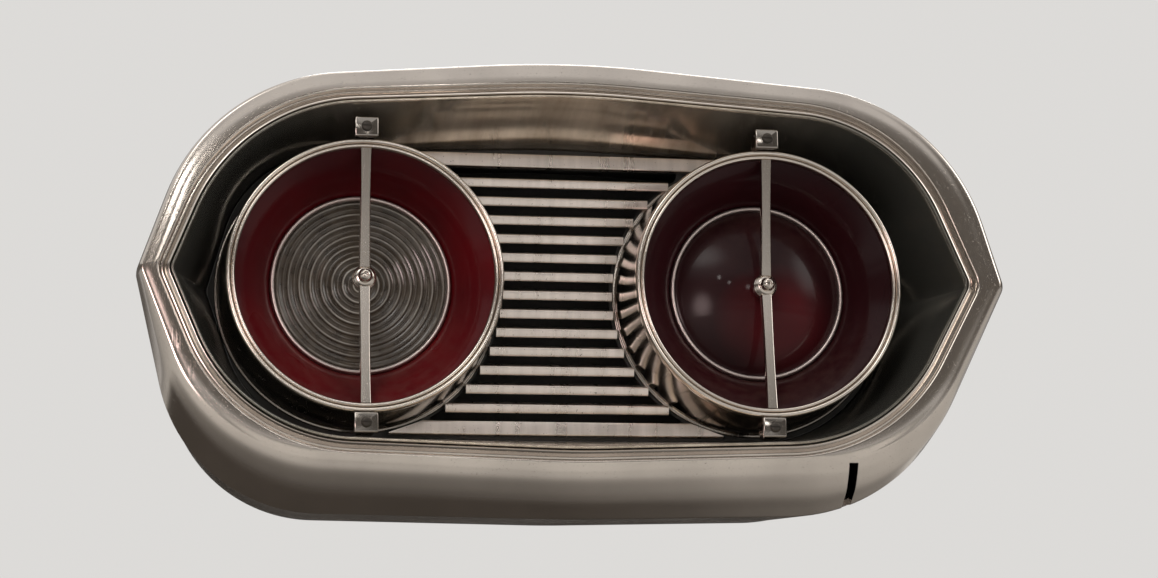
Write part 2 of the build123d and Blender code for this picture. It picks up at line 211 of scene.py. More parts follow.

# %% [markdown]
# Two more effects are shared. Bright metal that was rolled or drawn has long streaks along
# one direction, which a stretched noise gives; on the recess lining the same streaks are part
# of a painted reflection. And dust settles on what faces up, so its mask
# is the upward part of the normal, broken up by noise.


# %% Groups: streaks and dust
def streak_group():
    tree, given, result = shader_group(
        "streaks drawn and reflected",
        [("Vector", "Vector"), ("Stretch", "Vector"), ("Scale", "Float")],
        ["Streaks"],
    )
    stretched = add_node(
        tree, "ShaderNodeVectorMath", {0: given["Vector"], 1: given["Stretch"]}, operation="MULTIPLY"
    ).outputs[0]
    tree.links.new(ramp(noise(stretched, given["Scale"], 4.0), 0.3, 0.7), result["Streaks"])
    return tree


def dust_group():
    tree, given, result = shader_group(
        "settled dust",
        [("Vector", "Vector"), ("Normal", "Vector"), ("Amount", "Float"), ("Grain", "Float")],
        ["Dust"],
    )
    up = add_node(tree, "ShaderNodeSeparateXYZ", {0: given["Normal"]}).outputs["Z"]
    facing = ramp(up, 0.1, 0.95)
    patches = ramp(noise(given["Vector"], given["Grain"], 5.0), 0.35, 0.65)
    mask = times(times(facing, patches), given["Amount"])
    tree.links.new(mask, result["Dust"])
    return tree


streaks_drawn_and_reflected = streak_group()
settled_dust = dust_group()
print("built", streaks_drawn_and_reflected.name, "and", settled_dust.name)

# %% [markdown]
# ## Finishes
# Every finish starts the same way: a material with a Principled shader, and the object's own
# coordinates, in which every pattern is placed. All pieces sit at the origin, so these
# coordinates are metres in the frame, and a pattern's scale is how many of its cells go into
# a metre.


# %% Start a finish
class Finish:
    """A material that is being built: its tree, its shader and its coordinates."""

    def __init__(self, name):
        self.material = bpy.data.materials.new(name)
        self.material.use_nodes = True
        self.tree = self.material.node_tree
        self.shader = self.tree.nodes["Principled BSDF"]
        self.coords = add_node(self.tree, "ShaderNodeTexCoord").outputs["Object"]
        self.normal = add_node(self.tree, "ShaderNodeNewGeometry").outputs["Normal"]

    def group(self, tree, **values):
        """Places a shader group, with its inputs named in words joined by underscores."""
        node = add_node(self.tree, "ShaderNodeGroup", node_tree=tree)
        for key, value in {"Vector": self.coords, **values}.items():
            socket = node.inputs[key.replace("_", " ")]
            if isinstance(value, bpy.types.NodeSocket):
                self.tree.links.new(value, socket)
            else:
                socket.default_value = value
        return node.outputs

    def constants(self, **values):
        """Sets plain values on the shader's own sockets."""
        for key, value in values.items():
            self.shader.inputs[key.replace("_", " ")].default_value = value

    def feed(self, **sockets):
        """Links changing values to the shader's sockets."""
        for key, value in sockets.items():
            self.tree.links.new(value, self.shader.inputs[key.replace("_", " ")])

    def bump(self, height, depth, strength=1.0):
        """Feeds the normal from a height that is depth metres tall."""
        sockets = {"Height": height, "Distance": depth, "Strength": strength}
        self.feed(Normal=add_node(self.tree, "ShaderNodeBump", sockets).outputs[0])


# %% [markdown]
# The chrome is a warm silver. Where specks, scratches and haze lie, it is a little browner
# and rougher, and the specks are shallow pits. A very weak, wide wave in the surface makes
# its reflections swim, as they do on a large die casting that was polished by hand.


# %% Finish: aged chrome
def aged_chrome(name, colour, stain, rough, speck, scratch, wave):
    finish = Finish(name)
    marks = finish.group(
        worn_plating, Speck_scale=1500.0, Speck_amount=speck,
        Scratch_scale=160.0, Scratch_amount=scratch, Haze_scale=28.0,
    )
    dust = finish.group(settled_dust, Normal=finish.normal, Amount=0.10, Grain=120.0)["Dust"]
    tone = blend(marks["Haze"], colour, tuple(c * 0.86 for c in colour))
    tone = blend(marks["Specks"], tone, stain)
    finish.feed(Base_Color=blend(dust, tone, (0.30, 0.27, 0.23)))
    dull = plus(times(marks["Haze"], 0.09), rough)
    dull = plus(times(marks["Scratches"], 0.25), dull)
    finish.feed(Roughness=plus(times(dust, 0.5), dull))
    swell = times(noise(finish.coords, 18.0, 1.0), wave)
    finish.bump(plus(swell, times(marks["Height"], 0.06)), 0.0006)
    finish.constants(Metallic=1.0)
    return finish.material


chrome = aged_chrome(
    "aged chrome", (0.66, 0.60, 0.545), (0.10, 0.075, 0.055), 0.075, 0.6, 0.35, wave=0.6
)
bright_chrome = aged_chrome(
    "bright trim chrome", (0.80, 0.73, 0.66), (0.30, 0.25, 0.20), 0.10, 0.25, 0.15, wave=0.15
)
satin_trim = aged_chrome(
    "satin trim", (0.66, 0.575, 0.54), (0.20, 0.15, 0.12), 0.36, 0.3, 0.2, wave=0.1
)
# Barrel chrome is a darker copy of the chrome, a painted shade: it keeps the barrels, their lugs and the
# clip tabs as dark as metal that reflects a dark room.
barrel_chrome = aged_chrome(
    "barrel chrome", (0.36, 0.33, 0.30), (0.06, 0.05, 0.04), 0.10, 0.6, 0.8, wave=0.3
)
print("built", chrome.name, bright_chrome.name, satin_trim.name, barrel_chrome.name)

# %% [markdown]
# The recess is lined with polished metal, which is dark, except on the roof and the floor
# between the lamps: there a painted reflection makes it brown gold with upright streaks. Each
# painted patch is a soft mask from the object's coordinates. The louvres have the same streaks
# on brighter metal.


# %% Finishes: recess lining and louvres
def soft_patch(coords, centre, size):
    """A mask that is 1 at a centre and fades to 0 at a distance of size, axis by axis."""
    tree = coords.id_data
    moved = add_node(
        tree, "ShaderNodeMapping",
        {"Vector": coords, "Location": tuple(-c / s for c, s in zip(centre, size)),
         "Scale": tuple(1 / s for s in size)},
    ).outputs[0]
    reach = add_node(tree, "ShaderNodeVectorMath", {0: moved}, operation="LENGTH").outputs["Value"]
    return minus(1.0, ramp(reach, 0.45, 1.0))


def recess_lining():
    finish = Finish("recess lining")
    marks = finish.group(
        worn_plating, Speck_scale=1100.0, Speck_amount=0.7,
        Scratch_scale=120.0, Scratch_amount=0.7, Haze_scale=22.0,
    )
    streaks = finish.group(streaks_drawn_and_reflected, Stretch=(1.0, 0.04, 0.06), Scale=110.0)["Streaks"]
    # Painted reflection: on the roof and the floor the dark metal turns brown gold with upright streaks.
    roof = soft_patch(finish.coords, (0.0, -0.08, 0.085), (0.15, 0.2, 0.05))
    floor = soft_patch(finish.coords, (0.0, -0.08, -0.085), (0.15, 0.2, 0.04))
    painted_reflection = maths("MAXIMUM", roof, floor)
    gold = blend(streaks, (0.50, 0.42, 0.33), (0.85, 0.75, 0.63))
    tone = blend(painted_reflection, (0.24, 0.232, 0.205), gold)
    finish.feed(Base_Color=blend(marks["Specks"], tone, (0.16, 0.14, 0.115)))
    finish.feed(Roughness=plus(times(marks["Haze"], 0.16), 0.10))
    finish.bump(marks["Height"], 0.00005)
    finish.constants(Metallic=0.86)
    return finish.material


def louvre_metal():
    finish = Finish("louvre metal")
    marks = finish.group(
        worn_plating, Speck_scale=900.0, Speck_amount=0.9,
        Scratch_scale=140.0, Scratch_amount=0.6, Haze_scale=40.0,
    )
    streaks = finish.group(streaks_drawn_and_reflected, Stretch=(1.0, 0.1, 0.1), Scale=150.0)["Streaks"]
    tone = blend(streaks, (0.68, 0.61, 0.56), (0.92, 0.84, 0.78))
    finish.feed(Base_Color=blend(marks["Specks"], tone, (0.09, 0.07, 0.05)))
    finish.feed(Roughness=plus(times(streaks, 0.12), 0.24))
    finish.bump(marks["Height"], 0.00008)
    finish.constants(Metallic=1.0)
    return finish.material


# Near black with a fine grain: the painted shade inside the housing and on the panel's face.
def near_black_shade():
    finish = Finish("near black shade")
    grain = noise(finish.coords, 700.0, 3.0)
    tone = blend(ramp(grain, 0.3, 0.7), (0.012, 0.012, 0.010), (0.030, 0.029, 0.025))
    finish.feed(Base_Color=tone)
    finish.feed(Roughness=ramp(grain, -0.6, 1.4))
    finish.bump(grain, 0.00008)
    return finish.material


lining = recess_lining()
louvre_bright = louvre_metal()
matt_black = near_black_shade()
print("built", lining.name, louvre_bright.name, matt_black.name)

# %% [markdown]
# The lenses are moulded plastic: a body colour under a clear gloss. The coat layer gives the
# gloss. A painted glow, a lighter red round a given point, stands for light inside the plastic,
# and a soft noise mixes it unevenly with the darker red. The centre lens of the inner lamp is
# smoky and lets some light through. Painted highlights draw pale lines along the crests of its
# steps.


# %% Finishes: lenses
def moulded_lens(name, deep, lit, glow_centre, glow_size, gloss, coat_rough):
    finish = Finish(name)
    cloud = ramp(noise(finish.coords, 26.0, 2.0), 0.35, 0.7)
    # Painted glow: the lit red round glow_centre stands for light inside the plastic.
    painted_glow = soft_patch(finish.coords, glow_centre, glow_size)
    colour = blend(times(painted_glow, 0.8), deep, lit)
    colour = blend(times(cloud, 0.5), colour, deep)
    dust = finish.group(settled_dust, Normal=finish.normal, Amount=0.10, Grain=200.0)["Dust"]
    finish.feed(Base_Color=blend(dust, colour, (0.20, 0.13, 0.10)))
    finish.feed(Roughness=ramp(cloud, -1.2, 3.2))
    finish.bump(noise(finish.coords, 35.0, 1.0), 0.0005, 0.25)
    finish.constants(Coat_Weight=gloss, Coat_Roughness=coat_rough, Specular_IOR_Level=0.1)
    return finish.material


def clear_lens(middle_x):
    """The lens is smoky, and painted highlights lie on the crests of its steps, stronger in some places and
    towards the middle.
    """
    finish = Finish("clear stepped lens")
    parts = add_node(finish.tree, "ShaderNodeSeparateXYZ", {0: finish.coords}).outputs
    sideways = maths("ABSOLUTE", minus(parts["X"], middle_x))
    across = maths("POWER", sideways, 2.0)
    up = maths("POWER", maths("ABSOLUTE", parts["Z"]), 2.0)
    radius = maths("SQRT", plus(across, up))
    inward = over(minus(step_start, radius), step_pitch)
    phase = maths("FRACT", inward)
    crest_highlight = 0.0
    # The crest lines are painted highlights, stronger where the noise is high and towards the middle.
    for place, width, weight in ((0.22, 0.10, 1.0), (0.74, 0.06, 0.22)):
        away = maths("ABSOLUTE", minus(phase, place))
        line = minus(1.0, ramp(away, 0.0, width))
        crest_highlight = plus(times(line, weight), crest_highlight)
    uneven = ramp(noise(finish.coords, 42.0, 3.0), 0.36, 0.66)
    inner = minus(1.0, ramp(radius, 14.0 * mm, 36.0 * mm))
    lit = plus(times(uneven, 0.45), times(inner, 0.45))
    crest_highlight = times(crest_highlight, minus(lit, 0.04))
    grime = ramp(noise(finish.coords, 160.0, 5.0), 0.35, 0.75)
    smoke = blend(grime, (0.092, 0.072, 0.055), (0.045, 0.035, 0.027))
    finish.feed(Base_Color=blend(crest_highlight, smoke, (0.66, 0.61, 0.55)))
    finish.feed(Roughness=plus(times(grime, 0.12), 0.05))
    finish.constants(Transmission_Weight=0.3, IOR=1.49)
    return finish.material


def bulb_glass_finish():
    finish = Finish("bulb glass")
    smoke = ramp(noise(finish.coords, 90.0, 2.0), 0.3, 0.8)
    finish.feed(Base_Color=blend(smoke, (0.95, 0.93, 0.90), (0.70, 0.66, 0.60)))
    finish.feed(Roughness=times(smoke, 0.08))
    finish.constants(Transmission_Weight=1.0, IOR=1.5)
    return finish.material


# The glow centre and size of each lens place its painted glow.
red_inner = moulded_lens(
    "red lens inner", (0.022, 0.0014, 0.0024), (0.125, 0.0034, 0.0060),
    (lamp_x["inner"] + 0.012, -0.085, -0.01), (0.10, 0.2, 0.085), 0.25, 0.08,
)
red_outer = moulded_lens(
    "red lens outer", (0.012, 0.0024, 0.0034), (0.034, 0.0040, 0.0060),
    (lamp_x["outer"] - 0.01, -0.085, 0.0), (0.08, 0.2, 0.08), 0.2, 0.06,
)
dome_red = moulded_lens(
    "dome red", (0.015, 0.0026, 0.0034), (0.075, 0.0050, 0.0075),
    (lamp_x["outer"] + 0.008, -0.075, -0.014), (0.032, 0.2, 0.028), 0.18, 0.06,
)
step_pitch = 5.2 * mm
centre_land = 2.4 * mm
step_start = measured("centre_lens_inner")["r"] - centre_land
clear_plastic = clear_lens(lamp_x["inner"])
bulb_glass = bulb_glass_finish()
print("built", red_inner.name, red_outer.name, dome_red.name, clear_plastic.name)

# %% [markdown]
# The back of the cluster is plainer: a die-cast zinc housing, dull and a little blotchy, a
# black rubber gasket, steel studs and screws, and silvered reflectors inside the lamps.


# %% Finishes: the back of the cluster
def plain_metal(name, light, dark, rough, grain_scale, grain_depth):
    finish = Finish(name)
    blotch = ramp(noise(finish.coords, 30.0, 5.0), 0.3, 0.7)
    grain = noise(finish.coords, grain_scale, 4.0)
    dust = finish.group(settled_dust, Normal=finish.normal, Amount=0.5, Grain=60.0)["Dust"]
    tone = blend(blotch, light, dark)
    finish.feed(Base_Color=blend(dust, tone, (0.22, 0.19, 0.16)))
    finish.feed(Roughness=plus(times(blotch, 0.18), rough))
    finish.bump(grain, grain_depth, 0.6)
    finish.constants(Metallic=0.9)
    return finish.material


def rubber():
    finish = Finish("gasket rubber")
    bloom = ramp(noise(finish.coords, 70.0, 5.0), 0.4, 0.75)
    finish.feed(Base_Color=blend(bloom, (0.012, 0.012, 0.012), (0.045, 0.043, 0.040)))
    finish.feed(Roughness=plus(times(bloom, 0.2), 0.62))
    finish.bump(noise(finish.coords, 900.0, 2.0), 0.0001, 0.5)
    return finish.material


cast_zinc = plain_metal("cast zinc", (0.42, 0.42, 0.41), (0.26, 0.26, 0.26), 0.42, 900.0, 0.00015)
steel = plain_metal("plated steel", (0.44, 0.42, 0.38), (0.28, 0.25, 0.21), 0.28, 1500.0, 0.00004)
dark_steel = plain_metal("dark screw steel", (0.10, 0.09, 0.08), (0.04, 0.035, 0.03), 0.35, 1500.0, 0.00004)
brass = plain_metal("lamp cap brass", (0.55, 0.40, 0.17), (0.34, 0.23, 0.09), 0.3, 1200.0, 0.00004)
silvering = plain_metal("reflector silver", (0.30, 0.27, 0.24), (0.18, 0.16, 0.14), 0.30, 500.0, 0.00002)
gasket_rubber = rubber()
print("built", cast_zinc.name, steel.name, silvering.name, gasket_rubber.name)

# %% [markdown]
# ## Making pieces
# A finished piece rides on the body, and may stand for CAD nodes. The next cell also has the
# two ways in which most pieces are made from Python: joining loops of points, and filling
# flat outlines that have holes.


# %% Helpers for meshes
def new_piece(name, mesh, material=None):
    piece = bpy.data.objects.new(name, mesh)
    scene.collection.objects.link(piece)
    if material:
        mesh.materials.append(material)
    return piece


def evaluated_mesh(piece):
    """A new mesh of a piece as its modifiers and settings make it."""
    return bpy.data.meshes.new_from_object(piece.evaluated_get(bpy.context.evaluated_depsgraph_get()))


def simple_mesh(name, maker, shift=(0, 0, 0), turn=None, **sizes):
    """A mesh from one of the makers of simple shapes, which is turned and then shifted."""
    bm = bmesh.new()
    maker(bm, **sizes)
    if turn:
        bmesh.ops.rotate(bm, verts=bm.verts, matrix=turn)
    bmesh.ops.translate(bm, verts=bm.verts, vec=shift)
    mesh = bpy.data.meshes.new(name)
    bm.to_mesh(mesh)
    bm.free()
    return mesh


def cut_box(piece, name, middle, size):
    """Cuts a box out of a piece with a Boolean."""
    mesh = simple_mesh(name, bmesh.ops.create_cube, size=1.0)
    mesh.transform(Matrix.Translation(middle) @ Matrix.Diagonal((*size, 1)))
    cutter = new_piece(name, mesh)
    cut = piece.modifiers.new(name, "BOOLEAN")
    cut.object, cut.operation, cut.solver = cutter, "DIFFERENCE", "EXACT"
    piece.data = evaluated_mesh(piece)
    piece.modifiers.remove(cut)
    bpy.data.objects.remove(cutter)


def clean(mesh, sharp=35.0):
    """Merges doubles, turns the faces outwards, and shades smooth up to an angle."""
    bm = bmesh.new()
    bm.from_mesh(mesh)
    bmesh.ops.remove_doubles(bm, verts=bm.verts, dist=1e-6)
    bmesh.ops.recalc_face_normals(bm, faces=bm.faces)
    bm.to_mesh(mesh)
    bm.free()
    mesh.shade_smooth()
    mesh.set_sharp_from_angle(angle=math.radians(sharp))


def lofted(name, loops, closed=False, material=None):
    """Joins loops of equally many points. A closed loft joins the last loop to the first,
    and an open one is capped at both ends."""
    count = len(loops[0])
    points = [tuple(p) for loop in loops for p in loop]
    faces = []
    for i in range(len(loops) if closed else len(loops) - 1):
        for j in range(count):
            a, b = i * count, (i + 1) % len(loops) * count
            k = (j + 1) % count
            faces.append((a + j, a + k, b + k, b + j))
    if not closed:
        faces.append(tuple(range(count)))
        faces.append(tuple((len(loops) - 1) * count + j for j in range(count)))
    mesh = bpy.data.meshes.new(name)
    mesh.from_pydata(points, [], faces)
    clean(mesh)
    return new_piece(name, mesh, material)


def merged(name, pieces):
    """Joins pieces into one, with the material of each face kept."""
    bm = bmesh.new()
    materials = []
    for piece in pieces:
        start = len(bm.faces)
        bm.from_mesh(piece.data)
        bm.faces.ensure_lookup_table()
        for face in bm.faces[start:]:
            material = piece.data.materials[face.material_index]
            if material not in materials:
                materials.append(material)
            face.material_index = materials.index(material)
    mesh = bpy.data.meshes.new(name)
    bm.to_mesh(mesh)
    bm.free()
    for material in materials:
        mesh.materials.append(material)
    for piece in pieces:
        bpy.data.objects.remove(piece)
    mesh.set_sharp_from_angle(angle=math.radians(35.0))
    return new_piece(name, mesh)


def plate(name, loops, back, front, material, bevel=0.0):
    """A flat plate between two depths, filled between loops of (x, z) points."""
    curve = bpy.data.curves.new(name, "CURVE")
    curve.dimensions = "2D"
    curve.fill_mode = "BOTH"
    curve.extrude = (front - back) / 2 - bevel
    curve.bevel_depth = bevel
    curve.bevel_resolution = 2
    curve.offset = -bevel
    for loop in loops:
        spline = curve.splines.new("POLY")
        spline.points.add(len(loop) - 1)
        spline.points.foreach_set("co", [c for x, z in loop for c in (x, z, 0.0, 1.0)])
        spline.use_cyclic_u = True
    holder = bpy.data.objects.new(name, curve)
    scene.collection.objects.link(holder)
    bpy.context.view_layer.update()
    mesh = evaluated_mesh(holder)
    bpy.data.objects.remove(holder)
    upright = Matrix.Translation((0, -(front + back) / 2, 0)) @ Matrix.Rotation(math.pi / 2, 4, "X")
    mesh.transform(upright)
    clean(mesh)
    return new_piece(name, mesh, material)


def circle(x, z, radius, steps=72):
    """The (x, z) points of a circle."""
    turns = [2 * math.pi * i / steps for i in range(steps)]
    return [(x + radius * math.cos(t), z + radius * math.sin(t)) for t in turns]


def dress(piece, slot, *cad_nodes):
    """Fastens a finished piece to the body, in place of CAD nodes."""
    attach(piece, "root")
    if cad_nodes:
        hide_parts(*cad_nodes)
    print(f"{piece.name}: {len(piece.data.polygons)} faces")
    return piece


# %% [markdown]
# ## A lathe in Geometry Nodes
# Most of a lamp is round: the barrel, the ring, the lens, the hub, the reflector and the bulb.
# Each is one profile turned about the lamp's axis, so one tree makes them all. It spreads a
# grid, with one row for each profile point and one column for each step of the turn. Then it
# looks each profile point up by its number, and swings it round. The seam and the poles are
# merged, so the result is a closed skin.


# %% Start and run a Geometry Nodes tree
def geometry_tree(name, inputs):
    """A tree with named inputs, given as (name, kind)."""
    tree = bpy.data.node_groups.new(name, "GeometryNodeTree")
    tree.interface.new_socket("Geometry", in_out="INPUT", socket_type="NodeSocketGeometry")
    for label, kind in inputs:
        tree.interface.new_socket(label, in_out="INPUT", socket_type="NodeSocket" + kind)
    tree.interface.new_socket("Geometry", in_out="OUTPUT", socket_type="NodeSocketGeometry")
    return tree, tree.nodes.new("NodeGroupInput").outputs, tree.nodes.new("NodeGroupOutput").inputs


def end_tree(tree, geometry, material, result):
    """Ends a tree in Realize Instances and Set Material."""
    real = add_node(tree, "GeometryNodeRealizeInstances", {"Geometry": geometry}).outputs[0]
    dressed = add_node(tree, "GeometryNodeSetMaterial", {"Geometry": real, "Material": material})
    tree.links.new(dressed.outputs[0], result["Geometry"])


def run_tree(name, tree, values, mesh=None, sharp=35.0):
    """Runs a tree and returns its result as a plain piece."""
    piece = new_piece(name, mesh or bpy.data.meshes.new(name))
    modifier = piece.modifiers.new(tree.name, "NODES")
    modifier.node_group = tree
    for item in tree.interface.items_tree:
        if item.in_out == "INPUT" and item.name in values:
            modifier[item.identifier] = values[item.name]
    made = evaluated_mesh(piece)
    piece.modifiers.remove(modifier)
    piece.data = made
    clean(made, sharp)
    return piece


# %% The lathe tree
def lathe_tree():
    tree, given, result = geometry_tree(
        "lathe",
        [("Profile points", "Int"), ("Steps", "Int"), ("Axis x", "Float"), ("Material", "Material")],
    )
    columns = plus(given["Steps"], 1.0)
    grid = add_node(
        tree, "GeometryNodeMeshGrid",
        {"Vertices X": given["Profile points"], "Vertices Y": columns},
    ).outputs["Mesh"]
    index = add_node(tree, "GeometryNodeInputIndex").outputs[0]
    centred = plus(index, 0.5)
    number = maths("FLOOR", over(centred, columns))
    step = minus(index, times(number, columns))
    angle = over(times(step, 2 * math.pi), given["Steps"])
    position = add_node(tree, "GeometryNodeInputPosition").outputs[0]
    point = add_node(
        tree, "GeometryNodeSampleIndex",
        {"Geometry": given["Geometry"], "Index": number}, data_type="FLOAT_VECTOR",
    )
    tree.links.new(position, point.inputs["Value"])
    profile = add_node(tree, "ShaderNodeSeparateXYZ", {0: point.outputs[0]}).outputs
    across = times(profile["X"], maths("COSINE", angle))
    swung = add_node(
        tree, "ShaderNodeCombineXYZ",
        {"X": plus(across, given["Axis x"]),
         "Y": times(profile["Y"], -1.0),
         "Z": times(profile["X"], maths("SINE", angle))},
    ).outputs[0]
    surface = add_node(
        tree, "GeometryNodeSetPosition", {"Geometry": grid, "Position": swung}
    ).outputs[0]
    closed = add_node(
        tree, "GeometryNodeMergeByDistance", {"Geometry": surface, "Distance": 1e-6}
    ).outputs[0]
    end_tree(tree, closed, given["Material"], result)
    return tree


lathe = lathe_tree()
print("built the", lathe.name, "with", len(lathe.nodes), "nodes")

# %% [markdown]
# A real edge is never razor sharp. The profile's corners are rounded before it is turned,
# and the small arcs catch the light as a thin bright line. A profile is a list of (radius,
# depth) points. One that starts and ends on the axis stays open, and any other is closed.


# %% Turn a profile
def softened(points, radius, steps=4):
    """Rounds each corner of a closed profile that isn't on the axis, with a short curve."""
    rounded = []
    for i, (r, depth) in enumerate(points):
        corner = Vector((r, depth))
        before, after = Vector(points[i - 1]), Vector(points[(i + 1) % len(points)])
        if r < 1e-6 or radius == 0:
            rounded.append((r, depth))
            continue
        reach = min(radius, 0.45 * (before - corner).length, 0.45 * (after - corner).length)
        start = corner + (before - corner).normalized() * reach
        end = corner + (after - corner).normalized() * reach
        for k in range(steps + 1):
            t = k / steps
            p = (1 - t) ** 2 * start + 2 * t * (1 - t) * corner + t ** 2 * end
            rounded.append((p.x, p.y))
    return rounded


def turned(name, x, profile, material, soft=0.0, steps=144, sharp=35.0):
    """A piece turned about the axis at x, from its profile of (radius, depth) points."""
    points = softened(profile, soft)
    if points[0][0] > 1e-6 or points[-1][0] > 1e-6:
        points.append(points[0])
    mesh = bpy.data.meshes.new(name)
    mesh.from_pydata([(r, depth, 0.0) for r, depth in points], [], [])
    values = {"Profile points": len(points), "Steps": steps, "Axis x": x, "Material": material}
    return run_tree(name, lathe, values, mesh, sharp)


def bead(r_from, r_to, foot, top, steps=12):
    """The points of a rounded bead between two radii."""
    middle, half = (r_from + r_to) / 2, (r_from - r_to) / 2
    turns = [math.pi * i / steps for i in range(steps + 1)]
    return [(middle + half * math.cos(t), foot + (top - foot) * math.sin(t)) for t in turns]


def bow(start, end, rise, steps=20):
    """Points along an arc from start to end that stands out to the left of the line."""
    a, b = Vector(start), Vector(end)
    side = Vector((-(b - a).y, (b - a).x)).normalized()
    found = []
    for i in range(steps + 1):
        t = i / steps
        p = a.lerp(b, t) + side * rise * 4 * t * (1 - t)
        found.append((p.x, p.y))
    return found


# %% [markdown]
# ## Rings and lenses
# The ring over a barrel's mouth is two beads, side by side, with a dark line between them.
# Inside it the red lens goes down like a funnel to a thin bright trim ring. The inner lamp
# has a clear lens there, moulded in steps, and the outer lamp has a red dome.

# %% Rings
ring_width = 4.7 * mm
bead_foot = 1.6 * mm
outer_bead = 0.56
for side in sides:
    ring = rings[side]
    r1, r0 = ring["r"], ring["r"] - ring_width
    valley = r1 - ring_width * outer_bead
    foot = ring["back"] + bead_foot
    profile = [(r0, ring["back"]), (r1, ring["back"])]
    profile += bead(r1, valley, foot, ring["front"])
    profile += bead(valley, r0, foot, ring["front"] - 0.5 * mm)
    piece = turned(f"beaded_ring_{side}", ring["x"], profile, bright_chrome, steps=192)
    dress(piece, "chrome", f"ring_{side}")

# %% Red funnels and trim rings
funnel_bow, funnel_lip, funnel_edge = 2.0 * mm, 2.0 * mm, 3.5 * mm
trim_width, trim_foot = 2.4 * mm, 0.8 * mm
for side in sides:
    lens, trim = lenses[side], measured(f"lens_trim_{side}")
    mouth = lens["r"] - funnel_lip
    funnel = bow((trim["r"], trim["back"]), (mouth, lens["front"]), funnel_bow)
    profile = [*funnel, (lens["r"], lens["front"]), (lens["r"], lens["front"] - funnel_edge),
               (trim["r"] + funnel_lip, lens["back"]), (trim["r"], lens["back"])]
    colour = red_inner if side == "inner" else red_outer
    dress(turned(f"red_funnel_{side}", lens["x"], profile, colour), "red_lens", f"lens_{side}")
    inside = trim["r"] - trim_width
    profile = [(inside, trim["back"]), (trim["r"], trim["back"])]
    profile += bead(trim["r"], inside, trim["back"] + trim_foot, trim["front"])
    piece = turned(f"trim_bead_{side}", trim["x"], profile, satin_trim)
    dress(piece, "chrome", f"lens_trim_{side}")

# %% [markdown]
# The clear lens bends light with rings of small steps. Its profile is a rule, so a loop
# writes it: from the rim inwards, a tall step and then a low one, again and again. Each
# step has a round back, and its crest, with a painted highlight along it, draws one of the
# bright arcs that show in the lens.

# %% Stepped centre lens
tall, low = 0.9 * mm, 0.35 * mm
funnel_depth = 24.0 * mm
centre = measured("centre_lens_inner")
face = lenses["inner"]["front"] - funnel_depth
step_r = step_start
profile = [(0.0, centre["back"]), (centre["r"], centre["back"]), (centre["r"], face), (step_r, face)]
while step_r > step_pitch:
    for height, share in ((tall, 0.6), (low, 0.4)):
        width = step_pitch * share
        for k in range(1, 7):
            t = k / 6
            profile.append((step_r - width * t, face + height * math.sin(math.pi * t ** 0.7)))
        step_r -= width
profile.append((0.0, face + low))
piece = turned("stepped_lens", centre["x"], profile, clear_plastic, steps=160)
dress(piece, "clear_lens", "centre_lens_inner")

# %% Domed centre lens
dome = measured("centre_lens_outer")
dome_r = dome["r"] - centre_land
rise = dome["front"] - face
sphere_r = (dome_r ** 2 + rise ** 2) / (2 * rise)
profile = [(0.0, dome["back"]), (dome["r"], dome["back"]), (dome["r"], face), (dome_r, face)]
widest = math.asin(dome_r / sphere_r)
for k in range(1, 25):
    t = widest * (1 - k / 24)
    profile.append((sphere_r * math.sin(t), face + rise - sphere_r * (1 - math.cos(t))))
dress(turned("red_dome", dome["x"], profile, dome_red), "dark_red_lens", "centre_lens_outer")

# %% [markdown]
# ## Barrels, hubs, reflectors and bulbs
# Each barrel flares a little towards its foot on the panel. The hub is a stack of collars
# with a ball cap. Behind the lenses are a silvered bowl and a bulb in its holder, which
# show faintly through the clear lens and from behind.

# %% Barrels with their lugs
barrel_wall = 2.5 * mm
foot_t = 2.0 * mm
barrel_foot = 1.5 * mm
barrel_flare = 2.0 * mm
lug_w, lug_length, lug_slope = 8.0 * mm, 12.0 * mm, 4.0 * mm
for side in sides:
    barrel, ring, clips = measured(f"barrel_{side}"), rings[side], measured(f"clips_{side}")
    root_r = barrel["r"] - barrel_foot
    mouth_r = root_r - barrel_flare
    back, mouth = barrel["back"], ring["back"]
    tube = turned(f"barrel_tube_{side}", barrel["x"], [
        (mouth_r, mouth), (root_r, back + foot_t), (barrel["r"], back + foot_t),
        (barrel["r"], back), (root_r - barrel_wall, back), (mouth_r - barrel_wall, mouth),
    ], barrel_chrome, soft=0.6 * mm)
    parts = [tube]
    for up in (1, -1):
        end = clips["high"].z - 0.5 * mm
        outline = [
            (mouth_r - barrel_wall / 2, ring["front"] - lug_length - lug_slope),
            (end, ring["front"] - lug_length), (end, ring["front"]),
            (ring["r"] + 0.2 * mm, ring["front"]), (ring["r"] + 0.2 * mm, ring["back"]),
            (mouth_r - barrel_wall / 2, ring["back"]),
        ]
        outline = softened(outline, 0.7 * mm)
        loops = [[(barrel["x"] + s * lug_w / 2, -d, up * r) for r, d in outline] for s in (-1, 1)]
        parts.append(lofted(f"lug_{side}_{up}", loops, material=barrel_chrome))
    dress(merged(f"barrel_with_lugs_{side}", parts), "liner_chrome", f"barrel_{side}")

# %% Hubs
for side in sides:
    hub = measured(f"hub_{side}")
    r, back, front = hub["r"], hub["back"], hub["front"]
    cap_r = r * 0.6
    deck = front - 1.55 * cap_r
    profile = [(0.0, back), (r * 0.8, back), (r, back + 1.2 * mm), (r, deck - 2.6 * mm),
               (r * 0.86, deck - 1.9 * mm), (r * 0.94, deck - 1.2 * mm), (r * 0.7, deck),
               (cap_r * 0.8, deck + 0.4 * mm)]
    ball = [(cap_r * math.cos(t), front - cap_r + cap_r * math.sin(t))
            for t in (math.radians(a) for a in range(-30, 70, 8))]
    profile += ball
    profile += [(cap_r * 0.36, front - 0.5 * mm), (cap_r * 0.28, front - 0.9 * mm), (0.0, front - 0.9 * mm)]
    piece = turned(f"capped_hub_{side}", hub["x"], profile, chrome, soft=0.25 * mm, steps=72)
    dress(piece, "chrome", f"hub_{side}")

